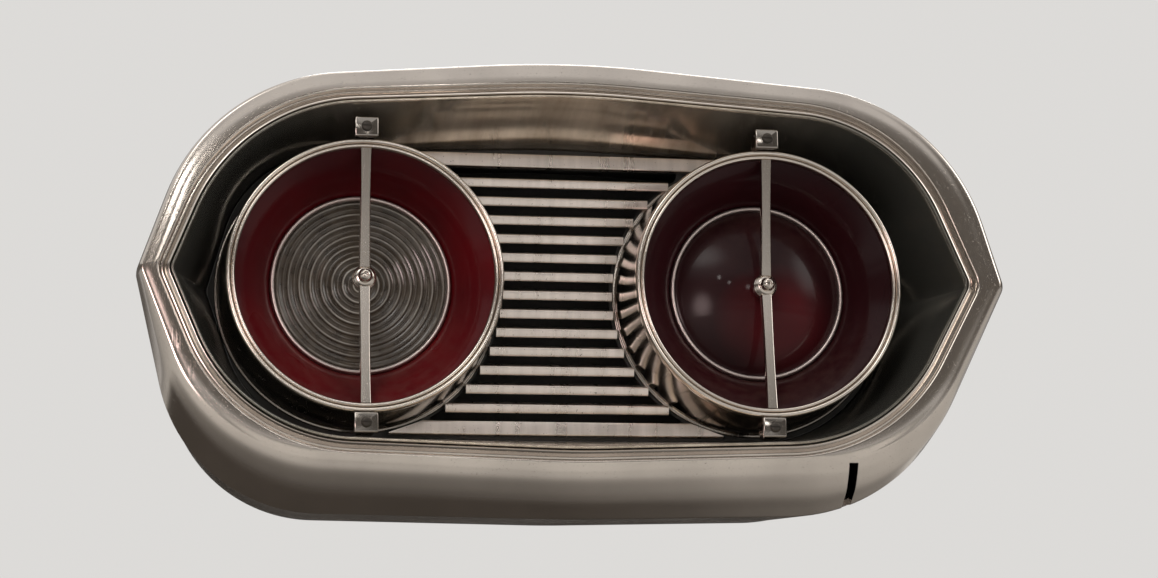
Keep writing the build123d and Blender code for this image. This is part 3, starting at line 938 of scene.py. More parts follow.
# %% Reflectors, bulbs and holders
neck, skin, bowl_bow = 16.0 * mm, 1.2 * mm, 11.0 * mm
base_r, base_length = 7.5 * mm, 18.0 * mm
body_r, flange_t = 13.0 * mm, 2.0 * mm
housing_face = measured("lamp_housing")["back"]
for side in sides:
    bowl, bulb, holder = (measured(f"{n}_{side}") for n in ("reflector", "bulb", "bulb_holder"))
    curve = bow((bowl["r"], bowl["front"]), (neck, bowl["back"]), bowl_bow)
    inside = [(r - skin, d + skin * 0.6) for r, d in reversed(curve)]
    inside[-1] = (bowl["r"] - skin, bowl["front"])
    inside[0] = (neck - skin, bowl["back"])
    piece = turned(f"bowl_{side}", bowl["x"], curve + inside, silvering, steps=96)
    dress(piece, "mirror", f"reflector_{side}")
    base_end = bulb["back"] + base_length
    cap = turned(f"bulb_cap_{side}", bulb["x"], [
        (0.0, bulb["back"]), (base_r, bulb["back"]), (base_r, base_end), (0.0, base_end),
    ], brass, soft=0.6 * mm, steps=48)
    globe_r = bulb["r"]
    middle = bulb["front"] - globe_r
    globe = [(globe_r * math.cos(t), middle + globe_r * math.sin(t))
             for t in (math.radians(a) for a in range(-50, 90, 7))]
    glass = turned(f"bulb_globe_{side}", bulb["x"], [(0.0, base_end), *globe, (0.0, bulb["front"])],
                   bulb_glass, steps=48)
    dress(merged(f"bulb_with_cap_{side}", [cap, glass]), "bulb_glass", f"bulb_{side}")
    profile = [(0.0, holder["front"]), (body_r, holder["front"]), (body_r, housing_face),
               (holder["r"], housing_face), (holder["r"], housing_face - flange_t),
               (body_r - 1 * mm, housing_face - flange_t)]
    end = holder["back"]
    for k in range(4):
        groove = end + (housing_face - flange_t - end) * (0.72 - 0.14 * k)
        profile += [(body_r - 1 * mm, groove + 0.8 * mm), (body_r - 1.8 * mm, groove),
                    (body_r - 1 * mm, groove - 0.8 * mm)]
    profile += [(body_r - 1 * mm, end), (4 * mm, end), (4 * mm, end + 3 * mm), (0.0, end + 3 * mm)]
    piece = turned(f"ribbed_holder_{side}", holder["x"], profile, cast_zinc, soft=0.4 * mm, steps=72)
    dress(piece, "zinc", f"bulb_holder_{side}")

# %% [markdown]
# ## Guard bars, clips and screws
# A guard bar is a strip with a flat back, short sloping flanks and a broad flat top, which
# dips towards the hub. It is lofted from a few sections, so its edges stay crisp. The clips are
# small square tabs. A second tree places copies: it puts a master piece on every given point,
# which suits the two clips and the two screws of each lamp.

# %% Guard bars
bar_w, bar_t, bar_waist = 5.4 * mm, 3.2 * mm, 0.12
bar_top_share, bar_flank, bar_steps = 0.84, 0.72, 8
for side in sides:
    bars, hub = measured(f"guard_bars_{side}"), measured(f"hub_{side}")
    x = bars["x"]
    section = [(-0.5, 0.0), (0.5, 0.0), (0.5, bar_flank), (bar_top_share / 2, 1.0),
               (-bar_top_share / 2, 1.0), (-0.5, bar_flank)]
    section = [(sx * bar_w, sd * bar_t) for sx, sd in section]
    section = softened(section, 0.35 * mm, 3)
    inner_depth = bars["back"]
    outer_depth = bars["front"] - bar_t
    parts = []
    for up in (1, -1):
        loops = []
        for k in range(bar_steps + 1):
            t = k / bar_steps
            z = hub["r"] * 0.8 + (bars["high"].z - hub["r"] * 0.8) * t
            depth = inner_depth + (outer_depth - inner_depth) * t
            narrow = 1.0 - bar_waist * math.sin(math.pi * t)
            loops.append([(x + sx * narrow, -(depth + sd), up * z) for sx, sd in section])
        parts.append(lofted(f"bar_{side}_{up}", loops, material=bright_chrome))
    dress(merged(f"guard_bar_pair_{side}", parts), "chrome", f"guard_bars_{side}")

# %% Tree: copies on points
def copies_tree():
    tree, given, result = geometry_tree(
        "copies on points", [("Master", "Object"), ("Material", "Material")]
    )
    master = add_node(tree, "GeometryNodeObjectInfo", {"Object": given["Master"]}).outputs["Geometry"]
    points = add_node(tree, "GeometryNodeMeshToPoints", {"Mesh": given["Geometry"]}).outputs[0]
    placed = add_node(
        tree, "GeometryNodeInstanceOnPoints", {"Points": points, "Instance": master}
    ).outputs[0]
    end_tree(tree, placed, given["Material"], result)
    return tree


copies = copies_tree()


def copied(name, master, places, material):
    """One piece made of copies of a master at places, and the master is removed."""
    mesh = bpy.data.meshes.new(name)
    mesh.from_pydata([tuple(p) for p in places], [], [])
    piece = run_tree(name, copies, {"Master": master, "Material": material}, mesh)
    bpy.data.objects.remove(master)
    return piece


# %% Clips and screws
for side in sides:
    clips, screws = measured(f"clips_{side}"), measured(f"clip_screws_{side}")
    x = clips["x"]
    low_z = min(v.co.z for v in nodes[f"clips_{side}"].data.vertices if v.co.z > 0)
    high_z = clips["high"].z
    half_w, half_h = clips["r"], (high_z - low_z) / 2
    square = [(-half_w, -half_h), (half_w, -half_h), (half_w, half_h), (-half_w, half_h)]
    corner = softened(square, 1.2 * mm)
    screw_z = measured(f"clip_screws_{side}")["high"].z - screws["r"]
    middle_z = (low_z + high_z) / 2
    thick = clips["front"] - clips["back"]
    tab = plate("tab", [corner], 0.0, thick, barrel_chrome, bevel=0.8 * mm)
    places = [(x, -clips["back"], up * middle_z) for up in (1, -1)]
    dress(copied(f"clip_tabs_{side}", tab, places, barrel_chrome), "chrome", f"clips_{side}")
    head_r, head_back = screws["r"], clips["front"]
    head_t = screws["front"] - head_back
    head = turned("head", 0.0, [
        (0.0, -6 * mm), (1.5 * mm, -6 * mm), (1.5 * mm, 0.0), (head_r, 0.0), (head_r, head_t * 0.45),
        (head_r * 0.7, head_t * 0.9), (0.0, head_t),
    ], dark_steel, soft=0.3 * mm, steps=32)
    cut_box(head, "slot", (0, -head_t, 0), (3 * head_r, head_t, 0.9 * mm))
    places = [(x, -head_back, up * screw_z) for up in (1, -1)]
    dress(copied(f"slotted_screws_{side}", head, places, dark_steel), "steel", f"clip_screws_{side}")

# %% [markdown]
# ## The pod's outlines
# The pod is a long shape with a point at each end and rounded shoulders. Every section of it
# is the same kind of outline: a polygon of eight corners, each rounded by its own radius. The
# frame's boxes say how far each outline reaches, and a small table says where its shoulders
# lie. All outlines have equally many points in the same order, so any two can be joined by a
# loft, and one can be blended into another.


# %% Outlines
outline_columns = (
    "crown", "sag", "in_ul", "in_ur", "in_ll", "in_lr", "r_ul", "r_ur", "r_ll", "r_lr",
)
outline_rows = {
    "panel": (6, 1, 20, 30, 24, 34, 56, 60, 58, 66),
    "opening": (10, 5, 32, 33, 33, 42, 86, 78, 80, 84),
    "rim": (14, 7, 33, 27, 34, 46, 92, 92, 80, 84),
    "shoulder": (14, 5, 33, 28, 29, 51, 92, 94, 78, 88),
    "skirt": (14, 3, 33, 29, 25, 56, 92, 96, 76, 90),
    "flange": (12, 3, 31, 28, 26, 52, 88, 92, 72, 84),
}
tip_z, tip_r, crown_r = -0.5 * mm, 7.0 * mm, 500.0 * mm
arc_steps, line_steps = 26, 5


def reach_of(node, extra=0.0):
    low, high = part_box(node)
    distances = {"left": -low.x, "right": high.x, "top": high.z, "bottom": -low.z}
    return {side: value + extra for side, value in distances.items()}


def pulled_in(reach, left, right, top, bottom):
    """A reach that is smaller by a number of millimetres on each side."""
    less = {"left": left, "right": right, "top": top, "bottom": bottom}
    return {side: value - less[side] * mm for side, value in reach.items()}


skirt_reach = reach_of("bezel")
reaches = {
    "panel": reach_of("louvre_panel", 0.2 * mm),
    "opening": reach_of("recess_liner"),
    "rim": pulled_in(skirt_reach, 1.0, 3.5, 1.0, 18.5),
    "shoulder": pulled_in(skirt_reach, 0.2, 1.0, 0.2, 6.0),
    "skirt": skirt_reach,
    "flange": reach_of("lamp_housing"),
}


def outline(name):
    """The points of an outline and its outward normals, both as (x, z)."""
    row = {k: v * mm for k, v in zip(outline_columns, outline_rows[name])}
    o = {**reaches[name], **row}
    corners = [
        (-o["left"], tip_z, tip_r),
        (-o["left"] + o["in_ul"], o["top"] - o["crown"], o["r_ul"]),
        (0.0, o["top"], crown_r),
        (o["right"] - o["in_ur"], o["top"] - o["crown"], o["r_ur"]),
        (o["right"], tip_z, tip_r),
        (o["right"] - o["in_lr"], -o["bottom"] + o["sag"], o["r_lr"]),
        (0.0, -o["bottom"], crown_r),
        (-o["left"] + o["in_ll"], -o["bottom"] + o["sag"], o["r_ll"]),
    ]
    arcs = []
    for i, (x, z, radius) in enumerate(corners):
        corner = Vector((x, z))
        before = (Vector(corners[i - 1][:2]) - corner).normalized()
        after = (Vector(corners[(i + 1) % 8][:2]) - corner).normalized()
        half = before.angle(after) / 2
        centre = corner + (before + after).normalized() * radius / math.sin(half)
        start = corner + before * radius / math.tan(half) - centre
        sweep = -(math.pi - 2 * half)
        arc = []
        for k in range(arc_steps + 1):
            spoke = Matrix.Rotation(sweep * k / arc_steps, 2) @ start
            arc.append((centre + spoke, spoke.normalized()))
        arcs.append(arc)
    found = []
    for i, arc in enumerate(arcs):
        found += arc
        (p, n), (q, m) = arc[-1], arcs[(i + 1) % 8][0]
        found += [(p.lerp(q, k / line_steps), n.lerp(m, k / line_steps)) for k in range(1, line_steps)]
    return found


outlines = {name: outline(name) for name in outline_rows}
print("each outline has", len(outlines["rim"]), "points")


def flat_loop(name, grow=0.0):
    """An outline as (x, z) points, larger by grow all round."""
    return [tuple(p + n * grow) for p, n in outlines[name]]


def pod_loop(start, end, share, grow, depth):
    """A loop at a depth, part of the way from one outline to another, larger by grow."""
    loop = []
    for (p, n), (q, m) in zip(outlines[start], outlines[end]):
        at = p.lerp(q, share) + n.lerp(m, share).normalized() * grow
        loop.append((at.x, -depth, at.y))
    return loop


# %% [markdown]
# ## Bezel
# The bezel is the piece that shows most. Seen in section, from the opening outwards, it has a
# narrow raised lip, a slope down into a groove, and then one broad round edge that rolls over
# a shoulder and down to the skirt. The narrow forms are given loop by loop: how far each loop
# is grown from the opening, and its height over the rim. The roll is a smooth curve through a
# few loops, which lie between the rim, the shoulder and the skirt. The same outlines, shrunk
# by the wall's thickness, close the shell behind.


# %% A smooth run of loops
def smooth_run(loops, steps):
    """Loops on a smooth curve through the given loops, the first and last included."""
    found = []
    for i in range(len(loops) - 1):
        four = [loops[max(i - 1, 0)], loops[i], loops[i + 1], loops[min(i + 2, len(loops) - 1)]]
        for k in range(steps):
            t = k / steps
            weights = (
                (-t ** 3 + 2 * t ** 2 - t) / 2, (3 * t ** 3 - 5 * t ** 2 + 2) / 2,
                (-3 * t ** 3 + 4 * t ** 2 + t) / 2, (t ** 3 - t ** 2) / 2,
            )
            found.append([
                tuple(sum(w * point[axis] for w, point in zip(weights, points)) for axis in range(3))
                for points in zip(*four)
            ])
    return found + [loops[-1]]


# %% Bezel shell
rim_depth = measured("bezel")["front"]
shoulder_depth = rim_depth - 9.0 * mm
skirt_depth = rim_depth - 18.0 * mm
foot_depth = measured("bezel")["back"]
wall = 3.0 * mm
lip = [(0.2, -8.0), (0.2, -1.2), (0.3, -0.45), (0.55, 0.1), (0.95, 0.35), (1.35, 0.25), (1.7, -0.1)]
groove = [
    (2.1, -0.5), (2.9, -1.5), (3.4, -2.25), (3.7, -2.5), (4.6, -2.5),
    (4.95, -2.2), (5.2, -1.2), (5.45, -0.45), (5.8, -0.2),
]
loops = [
    pod_loop("opening", "opening", 0.0, grow * mm, rim_depth + rise * mm) for grow, rise in lip + groove
]
roll = [
    ("opening", "rim", 0.0, 6.2, rim_depth - 0.15 * mm),
    ("opening", "rim", 0.62, 0.0, rim_depth - 0.32 * mm),
    ("opening", "rim", 0.80, 0.0, rim_depth - 0.68 * mm),
    ("rim", "shoulder", 0.0, -1.0, rim_depth - 1.0 * mm),
    ("rim", "shoulder", 0.22, -0.35, rim_depth - 2.1 * mm),
    ("rim", "shoulder", 0.5, -0.1, rim_depth - 4.1 * mm),
    ("rim", "shoulder", 0.78, 0.0, rim_depth - 6.4 * mm),
    ("rim", "shoulder", 1.0, 0.0, shoulder_depth + 0.1 * mm),
    ("shoulder", "skirt", 0.5, 0.1, (shoulder_depth + skirt_depth) / 2),
    ("shoulder", "skirt", 0.95, 0.0, skirt_depth + 0.7 * mm),
]
loops += smooth_run([pod_loop(a, b, share, grow * mm, depth) for a, b, share, grow, depth in roll], 5)
loops.append(pod_loop("skirt", "skirt", 0.0, 0.0, skirt_depth + 0.1 * mm))
for share in (0.01, 0.04, 0.15, 0.4, 0.7, 0.96, 1.0):
    depth = skirt_depth + (foot_depth - skirt_depth) * share
    loops.append(pod_loop("skirt", "flange", share, 0.0, depth))
for name, depth in (
    ("flange", foot_depth), ("skirt", skirt_depth), ("shoulder", shoulder_depth - wall / 2),
    ("rim", rim_depth - 8.0 * mm),
):
    loops.append(pod_loop(name, name, 0.0, -wall, depth))
bezel = lofted("plated_bezel", loops, closed=True, material=chrome)
print("bezel:", len(loops), "loops,", len(bezel.data.polygons), "faces")

# %% [markdown]
# The notch near the outer end of the skirt is cut with a Boolean, as a mill would cut it.

# %% Notch in the skirt
notch_w, notch_h, notch_d = 4.5 * mm, 26.0 * mm, 24.0 * mm
notch_x = reaches["skirt"]["right"] - 81.5 * mm
notch_low = -reaches["skirt"]["bottom"] - 2.0 * mm
notch_box = (notch_w, notch_d, notch_h + 2.0 * mm)
middle = (notch_x, -rim_depth + 10.0 * mm, notch_low + notch_box[2] / 2)
cut_box(bezel, "notch", middle, notch_box)
bezel.data.set_sharp_from_angle(angle=math.radians(40.0))
dress(bezel, "chrome", "bezel")

# %% [markdown]
# ## Liner, housing and gasket
# The liner is a thin wall from the panel out to the bezel's opening, with a rolled front lip.
# Behind it stands the housing, a cast tray on a wide flange. Its inside is near black, a painted
# shade that keeps the gaps between the louvres dark. The flat pieces are filled outlines with holes.

# %% Recess liner
liner = measured("recess_liner")
back, front = liner["back"], liner["front"]
loops = []
for share, grow, depth in (
    (0.0, 1.5, back), (0.5, 0.75, (back + front) / 2), (0.98, 0.05, front - 1.0 * mm),
    (1.0, -0.1, front - 0.5 * mm), (1.0, -0.4, front - 0.1 * mm), (1.0, -0.8, front),
    (1.0, -1.2, front - 0.1 * mm), (1.0, -1.5, front - 0.6 * mm), (0.97, -1.5, front - 1.8 * mm),
    (0.75, -1.1, back + (front - back) * 0.75), (0.5, -0.75, (back + front) / 2),
    (0.25, -0.4, back + (front - back) * 0.25), (0.0, 0.0, back),
):
    loops.append(pod_loop("panel", "opening", share, grow * mm, depth))
dress(lofted("polished_liner", loops, closed=True, material=lining), "liner_chrome", "recess_liner")

# %% Housing with its studs' holes
housing = measured("lamp_housing")
gasket = measured("housing_gasket")
studs = measured("mounting_studs")
stud_head_r = 6.0 * mm
stud_x, stud_z = studs["r"] - stud_head_r, studs["high"].z - stud_head_r
stud_places = [(sx * stud_x, sz * stud_z) for sx in (1, -1) for sz in (1, -1)]
flange_front, flange_back = housing["back"], housing["back"] + 3.0 * mm
holder_hole = 13.2 * mm
holes = [circle(x, 0.0, holder_hole) for x in lamp_x.values()]
holes += [circle(x, z, 4.0 * mm, 32) for x, z in stud_places]
floor_plate = plate(
    "floor", [flat_loop("flange"), *holes], flange_front, flange_back, cast_zinc, bevel=0.5 * mm
)
tray_outer, tray_inner = 1.5 * mm, -1.0 * mm
wall_loops = [
    pod_loop("panel", "panel", 0.0, grow, depth) for grow, depth in (
        (tray_outer + 1.2 * mm, flange_back - 0.2 * mm), (tray_outer + 0.4 * mm, flange_back + 0.5 * mm),
        (tray_outer, flange_back + 1.4 * mm), (tray_outer, housing["front"] - 0.4 * mm),
        (tray_outer - 0.4 * mm, housing["front"]), (tray_inner + 0.4 * mm, housing["front"]),
        (tray_inner, housing["front"] - 0.4 * mm), (tray_inner, flange_back - 0.2 * mm),
    )
]
tray = lofted("tray", wall_loops, closed=True, material=cast_zinc)
# Faces that look inwards get the near black painted shade.
tray.data.materials.append(matt_black)
for polygon in tray.data.polygons:
    inward = Vector((polygon.center.x, 0, polygon.center.z)).dot(polygon.normal) < 0
    polygon.material_index = 1 if inward else 0
# A thin near black sheet on the tray's floor: painted shade behind the louvres.
inside_floor = plate(
    "inside", [flat_loop("panel", tray_inner - 0.1 * mm), *holes[:2]],
    flange_back - 0.05 * mm, flange_back + 0.15 * mm, matt_black,
)
dress(merged("cast_housing", [floor_plate, tray, inside_floor]), "zinc", "lamp_housing")

# %% Gasket
holes = [circle(x, z, 4.6 * mm, 32) for x, z in stud_places]
seal = plate(
    "rubber_gasket", [flat_loop("flange", -2.0 * mm), flat_loop("panel"), *holes],
    gasket["back"], gasket["front"], gasket_rubber, bevel=0.4 * mm,
)
dress(seal, "rubber", "housing_gasket")

# %% [markdown]
# ## Louvre panel
# The panel is a plate with two round holes for the lamps and a window between them. Thirteen
# louvres cross the window. They are alike but for their length, which follows the round feet
# of the barrels: at each height, the louvre ends where the circle is. Geometry Nodes do this
# with one rule. The tree makes a line of points, one for each louvre, puts the same rounded
# slat on every point, and scales it across by the width that is free at that height.


# %% Louvre tree
def louvre_tree():
    tree, given, result = geometry_tree(
        "louvres between two barrels",
        [("Count", "Int"), ("Pitch", "Float"), ("Lowest", "Float"), ("Depth", "Float"),
         ("Length", "Float"), ("Thickness", "Float"), ("Edge radius", "Float"),
         ("Tilt", "Float"), ("Half width", "Float"),
         ("Barrel offset", "Float"), ("Barrel radius", "Float"), ("Material", "Material")],
    )
    start = add_node(
        tree, "ShaderNodeCombineXYZ",
        {"Y": times(given["Depth"], -1.0), "Z": given["Lowest"]},
    ).outputs[0]
    spacing = add_node(tree, "ShaderNodeCombineXYZ", {"Z": given["Pitch"]}).outputs[0]
    line = add_node(
        tree, "GeometryNodeMeshLine",
        {"Count": given["Count"], "Start Location": start, "Offset": spacing},
    ).outputs[0]
    shape = add_node(
        tree, "GeometryNodeCurvePrimitiveQuadrilateral",
        {"Width": given["Length"], "Height": given["Thickness"]},
    ).outputs[0]
    section = add_node(
        tree, "GeometryNodeFilletCurve", {"Curve": shape, "Radius": given["Edge radius"], "Count": 5},
        mode="POLY",
    ).outputs[0]
    path = add_node(
        tree, "GeometryNodeCurvePrimitiveLine", {"Start": (-1.0, 0.0, 0.0), "End": (1.0, 0.0, 0.0)}
    ).outputs[0]
    slat = add_node(
        tree, "GeometryNodeCurveToMesh", {"Curve": path, "Profile Curve": section, "Fill Caps": True}
    ).outputs[0]
    height = add_node(
        tree, "ShaderNodeSeparateXYZ", {0: add_node(tree, "GeometryNodeInputPosition").outputs[0]}
    ).outputs["Z"]
    squares = minus(maths("POWER", given["Barrel radius"], 2.0), maths("POWER", height, 2.0))
    root = maths("SQRT", maths("MAXIMUM", squares, 0.0))
    free = minus(given["Barrel offset"], root)
    width = maths("MINIMUM", free, given["Half width"])
    placed = add_node(
        tree, "GeometryNodeInstanceOnPoints",
        {"Points": add_node(tree, "GeometryNodeMeshToPoints", {"Mesh": line}).outputs[0],
         "Instance": slat,
         "Rotation": add_node(tree, "ShaderNodeCombineXYZ", {"X": given["Tilt"]}).outputs[0],
         "Scale": add_node(tree, "ShaderNodeCombineXYZ", {"X": width, "Y": 1.0, "Z": 1.0}).outputs[0]},
    ).outputs[0]
    end_tree(tree, placed, given["Material"], result)
    return tree


barrel = measured("barrel_inner")
plate_back = housing["front"]
plate_front = plate_back + 2.0 * mm
louvre_count, louvre_pitch, louvre_middle = 13, 9.35 * mm, 0.7 * mm
louvre_length, louvre_t = 11.0 * mm, 4.6 * mm
louvre_span = louvre_pitch * (louvre_count - 1)
window_half = lamp_spacing / 2 - 35.0 * mm
barrel_clear = barrel["r"] + 1.0 * mm
slats = run_tree("slats", louvre_tree(), {
    "Count": louvre_count, "Pitch": louvre_pitch, "Lowest": louvre_middle - louvre_span / 2,
    "Depth": plate_front, "Length": louvre_length, "Thickness": louvre_t,
    "Edge radius": 1.0 * mm, "Tilt": math.radians(14.0), "Half width": window_half + 0.3 * mm,
    "Barrel offset": lamp_spacing / 2, "Barrel radius": barrel_clear - 0.3 * mm,
    "Material": louvre_bright,
}, sharp=50.0)
print("louvres:", len(slats.data.polygons), "faces, box", [round(v / mm, 1) for v in slats.dimensions])

# %% [markdown]
# The plate round the window is near black on its face, a painted shade like the inside of the
# housing, and the two ledges above and below the louvres are bright. The window's sides are
# the two circles, cut off at the window's half width.

# %% Plate and ledges
window_gap = 7.2 * mm
window_top = louvre_middle + louvre_span / 2 + window_gap
window_low = louvre_middle - louvre_span / 2 - window_gap


def free_half(z, most):
    """Half of the width that is free between the barrels' feet at a height, at most most."""
    square = barrel_clear ** 2 - z ** 2
    return min(most, lamp_spacing / 2 - math.sqrt(square)) if square > 0 else most


heights = [window_low + (window_top - window_low) * k / 60 for k in range(61)]
right_edge = [(free_half(z, window_half), z) for z in heights]
window = right_edge + [(-x, z) for x, z in reversed(right_edge)]
hole_r = measured("barrel_inner")["r"] - barrel_foot - barrel_wall
holes = [circle(x, 0.0, hole_r, 144) for x in lamp_x.values()]
sheet = plate("sheet", [flat_loop("panel", -0.2 * mm), window, *holes], plate_back, plate_front, matt_black)
ledge_h, ledge_front = 6.8 * mm, plate_front + 4.5 * mm
ledge_half = lamp_spacing / 2 - 15.0 * mm
ledges = []
for low_z, high_z in ((window_top, window_top + ledge_h), (window_low - ledge_h, window_low)):
    square = [(plate_front, low_z), (plate_front, high_z), (ledge_front, high_z), (ledge_front, low_z)]
    section = softened(square, 0.8 * mm)
    loops = []
    for k in range(25):
        t = 2 * k / 24 - 1
        loops.append([(t * free_half(z, ledge_half), -d, z) for d, z in section])
    ledges.append(lofted(f"ledge_{len(ledges)}", loops, material=louvre_bright))
dress(merged("louvred_panel", [slats, sheet, *ledges]), "louvre_metal", "louvre_panel")

# %% [markdown]
# ## Studs
# A stud's thread is a helix. Seen as a sheet wrapped round the stud, its height is a
# triangle wave that climbs by one pitch in each turn. A tree does that: it wraps a grid into
# a tube and adds the wave to the radius. A neck and a head finish the stud.


# %% Thread tree
def thread_tree():
    tree, given, result = geometry_tree(
        "threaded shank",
        [("Radius", "Float"), ("Length", "Float"), ("Pitch", "Float"), ("Tooth", "Float"),
         ("Steps", "Int"), ("Rows", "Int"), ("Material", "Material")],
    )
    columns = plus(given["Steps"], 1.0)
    grid = add_node(
        tree, "GeometryNodeMeshGrid", {"Vertices X": given["Rows"], "Vertices Y": columns}
    ).outputs["Mesh"]
    index = add_node(tree, "GeometryNodeInputIndex").outputs[0]
    row = maths("FLOOR", over(plus(index, 0.5), columns))
    step = minus(index, times(row, columns))
    turn = over(step, given["Steps"])
    share = over(row, minus(given["Rows"], 1.0))
    along = times(share, given["Length"])
    phase = maths("FRACT", minus(over(along, given["Pitch"]), turn))
    wave = maths("ABSOLUTE", minus(times(phase, 2.0), 1.0))
    tooth = times(wave, given["Tooth"])
    radius = minus(given["Radius"], tooth)
    angle = times(turn, 2 * math.pi)
    wrapped = add_node(
        tree, "ShaderNodeCombineXYZ",
        {"X": times(radius, maths("COSINE", angle)), "Y": along,
         "Z": times(radius, maths("SINE", angle))},
    ).outputs[0]
    tube = add_node(tree, "GeometryNodeSetPosition", {"Geometry": grid, "Position": wrapped}).outputs[0]
    end_tree(tree, tube, given["Material"], result)
    return tree


stud_r, neck_r, stud_length = 3.0 * mm, 3.8 * mm, -studs["back"]
shank = run_tree("shank", thread_tree(), {
    "Radius": stud_r, "Length": stud_length - 1.0 * mm, "Pitch": 1.25 * mm, "Tooth": 0.6 * mm,
    "Steps": 24, "Rows": 135, "Material": steel,
}, sharp=60.0)
head_t = 4.0 * mm
body = turned("stud_body", 0.0, [
    (0.0, -stud_length), (stud_r - 0.9 * mm, -stud_length), (stud_r - 0.6 * mm, -stud_length + 1.0 * mm),
    (stud_r - 0.65 * mm, 0.0), (neck_r, 0.0), (neck_r, flange_back),
    (stud_head_r, flange_back), (stud_head_r, flange_back + head_t * 0.6),
    (stud_head_r * 0.6, flange_back + head_t), (0.0, flange_back + head_t),
], steel, soft=0.2 * mm, steps=32)
stud = merged("stud", [shank, body])
places = [(x, 0.0, z) for x, z in stud_places]
dress(copied("threaded_studs", stud, places, steel), "steel", "mounting_studs")

# %% [markdown]
# ## Studio
# The camera stands where the photographer stood: low, close to the floor, a little to the
# left, looking up and to the right. The lens is long, so that the lamps fill the picture.
# The floor is at the camera's level. The room is pale all round. Chrome shows what is round
# it, so cards that only reflections see stand there, as in a studio for pictures of metal.

# %% Camera
camera_at = Vector((-0.2168, -1.3328, -0.2595))
aim = Vector((0.005, -0.090, -0.004))
camera_roll = math.radians(-0.81)
camera = bpy.data.objects.new("camera", bpy.data.cameras.new("camera"))
scene.collection.objects.link(camera)
scene.camera = camera
camera.data.sensor_width = 36.0
camera.data.lens = 84.0
camera.data.clip_start = 0.05
camera.location = camera_at
turn = (aim - camera_at).to_track_quat("-Z", "Y").to_matrix() @ Matrix.Rotation(camera_roll, 3, "Z")
camera.rotation_euler = turn.to_euler()
print("camera", round((aim - camera_at).length, 3), "m away")


# %% Floor and room
def bare_material(name, colour):
    material = bpy.data.materials.new(name)
    material.use_nodes = True
    shader = material.node_tree.nodes["Principled BSDF"]
    shader.inputs["Base Color"].default_value = (*colour, 1.0)
    shader.inputs["Roughness"].default_value = 0.9
    shader.inputs["Specular IOR Level"].default_value = 0.0
    return material


floor_z = camera_at.z - 2.5 * mm
disc = simple_mesh("floor", bmesh.ops.create_circle, cap_ends=True, radius=12.0, segments=96)
floor_piece = new_piece("floor", disc, bare_material("floor", (0.72, 0.71, 0.69)))
floor_piece.location = (0.0, 0.0, floor_z)
floor_piece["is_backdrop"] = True

room_colour = (0.80, 0.785, 0.765)
world = bpy.data.worlds.new("room")
scene.world = world
world.use_nodes = True
tree = world.node_tree
light = tree.nodes["Background"]
light.inputs["Color"].default_value = (*room_colour, 1.0)
light.inputs["Strength"].default_value = 0.55
shown = add_node(tree, "ShaderNodeBackground", {"Color": (*room_colour, 1.0), "Strength": 0.9})
path = add_node(tree, "ShaderNodeLightPath").outputs
reflected = maths("MAXIMUM", path["Is Glossy Ray"], path["Is Transmission Ray"])
seen = maths("MAXIMUM", path["Is Camera Ray"], reflected)
mixed = add_node(tree, "ShaderNodeMixShader", {0: seen, 1: light.outputs[0], 2: shown.outputs[0]})
tree.links.new(mixed.outputs[0], tree.nodes["World Output"].inputs["Surface"])
print("floor at", round(floor_z, 4), "m, below the camera")

# %% [markdown]
# A dark flag with hard edges would draw hard lines in the chrome. So each flag fades out
# towards its edges. One is a band round the room at eye level, which gives the flat faces of
# the metal their middle tone. Another lies on the floor under the lamps, like a soft shade,
# and the lower side of the pod grows dark towards it. A third stands far behind the pod. A
# few soft glows, brightest in the middle, draw the highlights. Only reflections see these.


# %% Soft flags
lamps_middle = (0, -0.05, 0)


def soft_flag(name, mesh, colour, strength, axis, middle, reach, glow=0.0):
    """A card that fades out away from its middle, measured along the given axes."""
    material = bare_material(name, colour)
    shader = material.node_tree.nodes["Principled BSDF"]
    shader.inputs["Emission Color"].default_value = (*colour, 1.0)
    shader.inputs["Emission Strength"].default_value = glow
    tree = material.node_tree
    coords = add_node(tree, "ShaderNodeTexCoord").outputs["Object"]
    moved = add_node(tree, "ShaderNodeVectorMath", {0: coords, 1: middle}, operation="SUBTRACT").outputs[0]
    scaled = add_node(tree, "ShaderNodeVectorMath", {0: moved, 1: axis}, operation="MULTIPLY").outputs[0]
    away = add_node(tree, "ShaderNodeVectorMath", {0: scaled}, operation="LENGTH").outputs["Value"]
    fade = add_node(
        tree, "ShaderNodeMapRange",
        {"Value": away, "From Min": reach[0], "From Max": reach[1], "To Min": strength, "To Max": 0.0},
        interpolation_type="SMOOTHERSTEP",
    ).outputs["Result"]
    clear = add_node(tree, "ShaderNodeBsdfTransparent")
    mix = add_node(
        tree, "ShaderNodeMixShader",
        {0: fade, 1: clear.outputs[0], 2: tree.nodes["Principled BSDF"].outputs[0]},
    )
    tree.links.new(mix.outputs[0], tree.nodes["Material Output"].inputs["Surface"])
    flag = new_piece(name, mesh, material)
    flag.visible_camera = flag.visible_diffuse = flag.visible_shadow = flag.visible_transmission = False
    flag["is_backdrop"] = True
    return flag


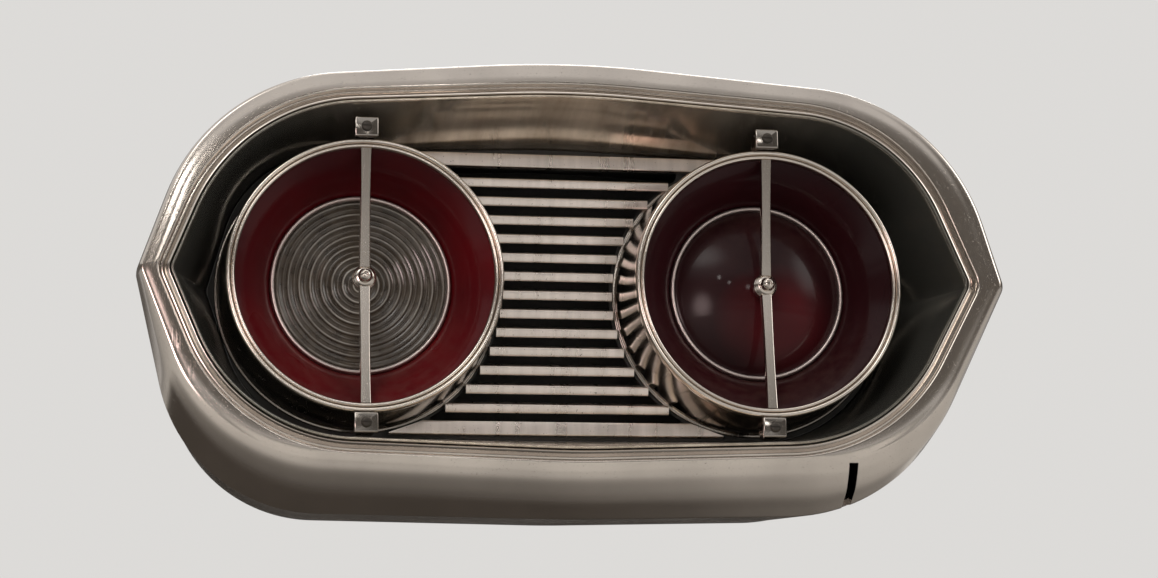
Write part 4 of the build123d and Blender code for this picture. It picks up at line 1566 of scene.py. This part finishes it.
band_sizes = {"cap_ends": False, "radius1": 3.2, "radius2": 3.2, "depth": 2.6, "segments": 96}
band = simple_mesh("eye level flag", bmesh.ops.create_cone, (0, 0, 0.6), **band_sizes)
soft_flag("eye level flag", band, (0.10, 0.085, 0.07), 0.9, (0, 0, 1), (0, 0, 0.62), (0.25, 0.95))
shade = simple_mesh(
    "floor flag", bmesh.ops.create_circle, (0, 0.75, floor_z + 4 * mm),
    cap_ends=True, radius=1.8, segments=64,
)
soft_flag("floor flag", shade, (0.06, 0.05, 0.042), 0.95, (0.6, 0.45, 0), (-0.3, 0.75, 0), (0.38, 0.62))
back_card = simple_mesh(
    "back flag", bmesh.ops.create_grid, (0, 2.6, 0), Matrix.Rotation(math.pi / 2, 3, "X"),
    x_segments=1, y_segments=1, size=2.0,
)
soft_flag("back flag", back_card, (0.05, 0.042, 0.035), 0.95, (0.35, 0, 1), (0, 0, -0.25), (0.35, 0.7))


def soft_glow(name, place, size, strength, colour=(1.0, 0.97, 0.94)):
    """A round card that faces the lamps and glows softly in its middle."""
    mesh = simple_mesh(name, bmesh.ops.create_circle, cap_ends=True, radius=1.0, segments=48)
    mesh.transform(Matrix.Diagonal((*size, 1, 1)))
    axis = (1 / size[0], 1 / size[1], 0)
    card = soft_flag(name, mesh, colour, 1.0, axis, (0, 0, 0), (0.0, 1.0), strength)
    turn = (Vector(lamps_middle) - Vector(place)).to_track_quat("Z", "Y").to_matrix().to_4x4()
    card.matrix_world = Matrix.Translation(place) @ turn
    return card


soft_glow("high glow", (-1.3, -2.2, 2.0), (1.3, 0.8), 4.2)
soft_glow("right glow", (2.2, -1.5, 1.1), (0.9, 1.1), 4.0)
soft_glow("low window", (-0.85, -1.55, -0.02), (0.36, 0.46), 10.0, (1.0, 0.78, 0.76))
soft_glow("level glow", (0.27, -3.0, 0.67), (0.16, 0.16), 9.0)
soft_glow("roof glow", (0.2, -0.6, 2.6), (1.8, 0.5), 2.2)


# %% Lamps
def soft_box(name, place, target, size, watts, in_gloss, colour=(1.0, 0.97, 0.93)):
    data = bpy.data.lights.new(name, "AREA")
    data.shape = "ELLIPSE"
    data.size, data.size_y = size
    data.energy = watts
    data.color = colour
    lamp = bpy.data.objects.new(name, data)
    scene.collection.objects.link(lamp)
    lamp.location = place
    lamp.rotation_euler = (Vector(target) - Vector(place)).to_track_quat("-Z", "Y").to_euler()
    lamp.visible_glossy = in_gloss
    return lamp


soft_box("key light", (-1.2, -2.2, 2.0), lamps_middle, (1.6, 0.8), 36.0, False)
soft_box("fill light", (1.8, -2.4, 0.9), lamps_middle, (0.8, 1.4), 14.0, False)
soft_box("back light", (0.6, 2.2, 1.8), (0, 0, 0), (1.6, 1.0), 22.0, True)
soft_box("far lamp left", (-0.80, -2.7, 1.05), lamps_middle, (0.12, 0.16), 0.7, True)
soft_box("far lamp right", (-0.42, -2.7, 0.80), lamps_middle, (0.10, 0.12), 0.4, True)
scene.view_settings.view_transform = "Standard"
print("lit by three soft boxes, and the glows and two small lamps give the highlights")

# %% [markdown]
# ## The dressed box
# The dressed model must be as big as the CAD model. The last line prints the dressed model's
# box.

# %% Sizes and end
low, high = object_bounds()
print("visual box", [round(v / mm, 1) for v in high - low], "mm")
